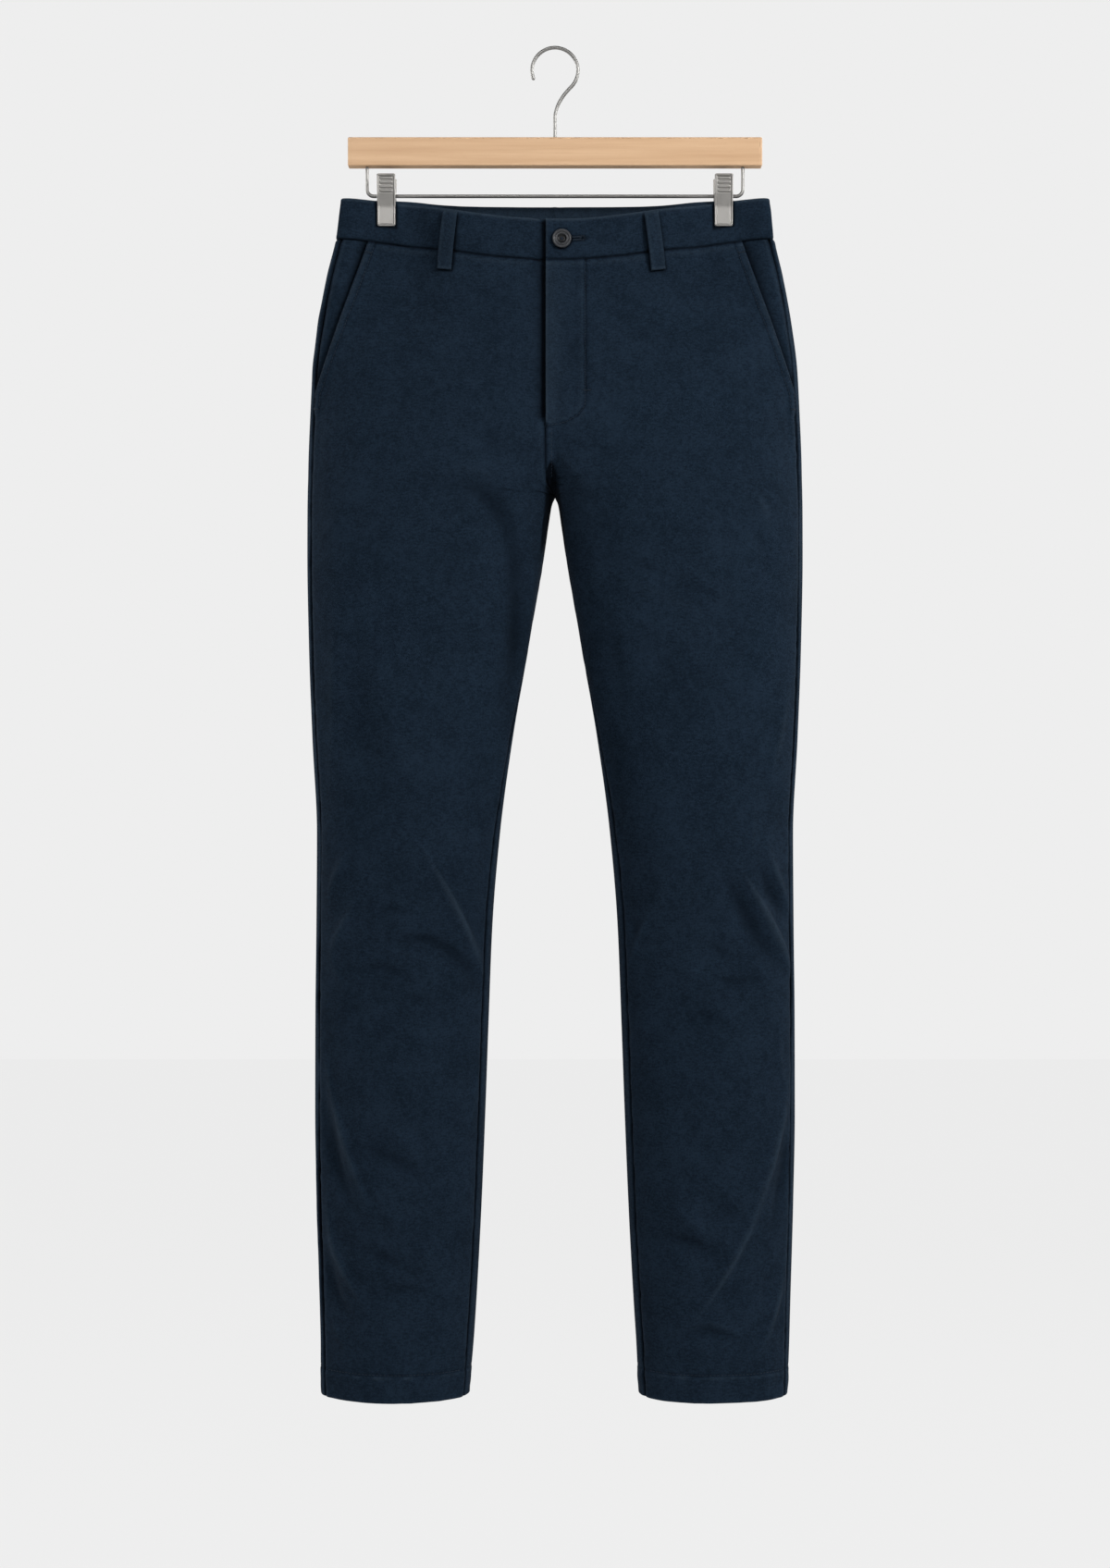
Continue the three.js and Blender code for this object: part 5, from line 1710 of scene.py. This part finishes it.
def makeSpring(word, x):
    turn = np.linspace(0, spring["turns"] * 2 * np.pi, spring["turns"] * 28)
    route = np.stack([
        x + np.linspace(-spring["half"], spring["half"], len(turn)),
        spring["radius"] * np.cos(turn), hanger["rodZ"] + spring["radius"] * np.sin(turn),
    ], -1)
    putWire(f"{word}ClipSpring", f"clip_{word}_spring", route, spring["wire"], 8, (1, 0, 0))


makeHook()
makeRod()
makeBar()
for word, x in (("left", cut["clipX"]), ("right", -cut["clipX"])):
    makeJaw(word, x, 1)
    makeJaw(word, x, -1)
    makeSpring(word, x)
print("hanger made")
paleGrey = (studio["grey"],) * 3 + (1,)


def bareNodes(holder):
    # the nodes of a world or a finish, with none in them yet
    holder.use_nodes = True
    holder.node_tree.nodes.clear()
    return holder.node_tree


def makeCamera():
    data = bpy.data.cameras.new("camera")
    data.lens = camera["lens"]
    data.sensor_width = camera["sensor"]
    holder = addObject("camera", data)
    holder.location = (0, -camera["distance"] * mm, camera["height"] * mm)
    holder.rotation_euler = (np.pi / 2, 0, 0)
    bpy.context.scene.camera = holder


def makeWorld():
    # seen directly the wall is pale grey, and as light it is a weaker fill
    world = bpy.data.worlds.new("studioWall")
    bpy.context.scene.world = world
    tree = bareNodes(world)
    seen = addNode(tree, "ShaderNodeBackground", {"Color": paleGrey, "Strength": 1.0})
    fill = addNode(tree, "ShaderNodeBackground", {"Color": paleGrey, "Strength": studio["fill"]})
    path = tree.nodes.new("ShaderNodeLightPath")
    mix = addNode(
        tree, "ShaderNodeMixShader", {0: path.outputs["Is Camera Ray"], 1: fill, 2: seen}
    )
    output = tree.nodes.new("ShaderNodeOutputWorld")
    tree.links.new(mix, output.inputs["Surface"])


def makeFloor():
    # a plain pale floor, mostly evenly lit paper
    low = cadBox[0][2] - studio["floorBelow"] * mm
    half = studio["floorSize"] * mm / 2
    mesh = bpy.data.meshes.new("studioFloor")
    corners = [(-half, -half, low), (half, -half, low), (half, half, low), (-half, half, low)]
    mesh.from_pydata(corners, [], [(0, 1, 2, 3)])
    finish = bpy.data.materials.new("paperFloor")
    tree = bareNodes(finish)
    paper = addNode(tree, "ShaderNodeBsdfDiffuse", {"Color": (0.8, 0.8, 0.8, 1)})
    glow = addNode(tree, "ShaderNodeEmission", {"Color": paleGrey, "Strength": 1.0})
    path = tree.nodes.new("ShaderNodeLightPath")
    share = addMath(tree, "MULTIPLY", path.outputs["Is Camera Ray"], 1 - studio["floorShade"])
    mix = addNode(tree, "ShaderNodeMixShader", {0: share, 1: paper, 2: glow})
    output = tree.nodes.new("ShaderNodeOutputMaterial")
    tree.links.new(mix, output.inputs["Surface"])
    mesh.materials.append(finish)
    addObject("studioFloor", mesh)


def makeLamp(name, facts):
    data = bpy.data.lights.new(name, "AREA")
    data.shape = "SQUARE"
    data.size = facts["size"] * mm
    data.energy = facts["watts"]
    lamp = addObject(name, data)
    lamp.location = Vector(facts["at"]) * mm
    aim = Vector(facts["aim"]) * mm - lamp.location
    lamp.rotation_euler = aim.to_track_quat("-Z", "Y").to_euler()
    lamp.visible_camera = False


makeCamera()
makeWorld()
makeFloor()
for name, facts in studio["lamps"].items():
    makeLamp(name, facts)
bpy.context.scene.view_settings.view_transform = "Standard"
print("studio set")
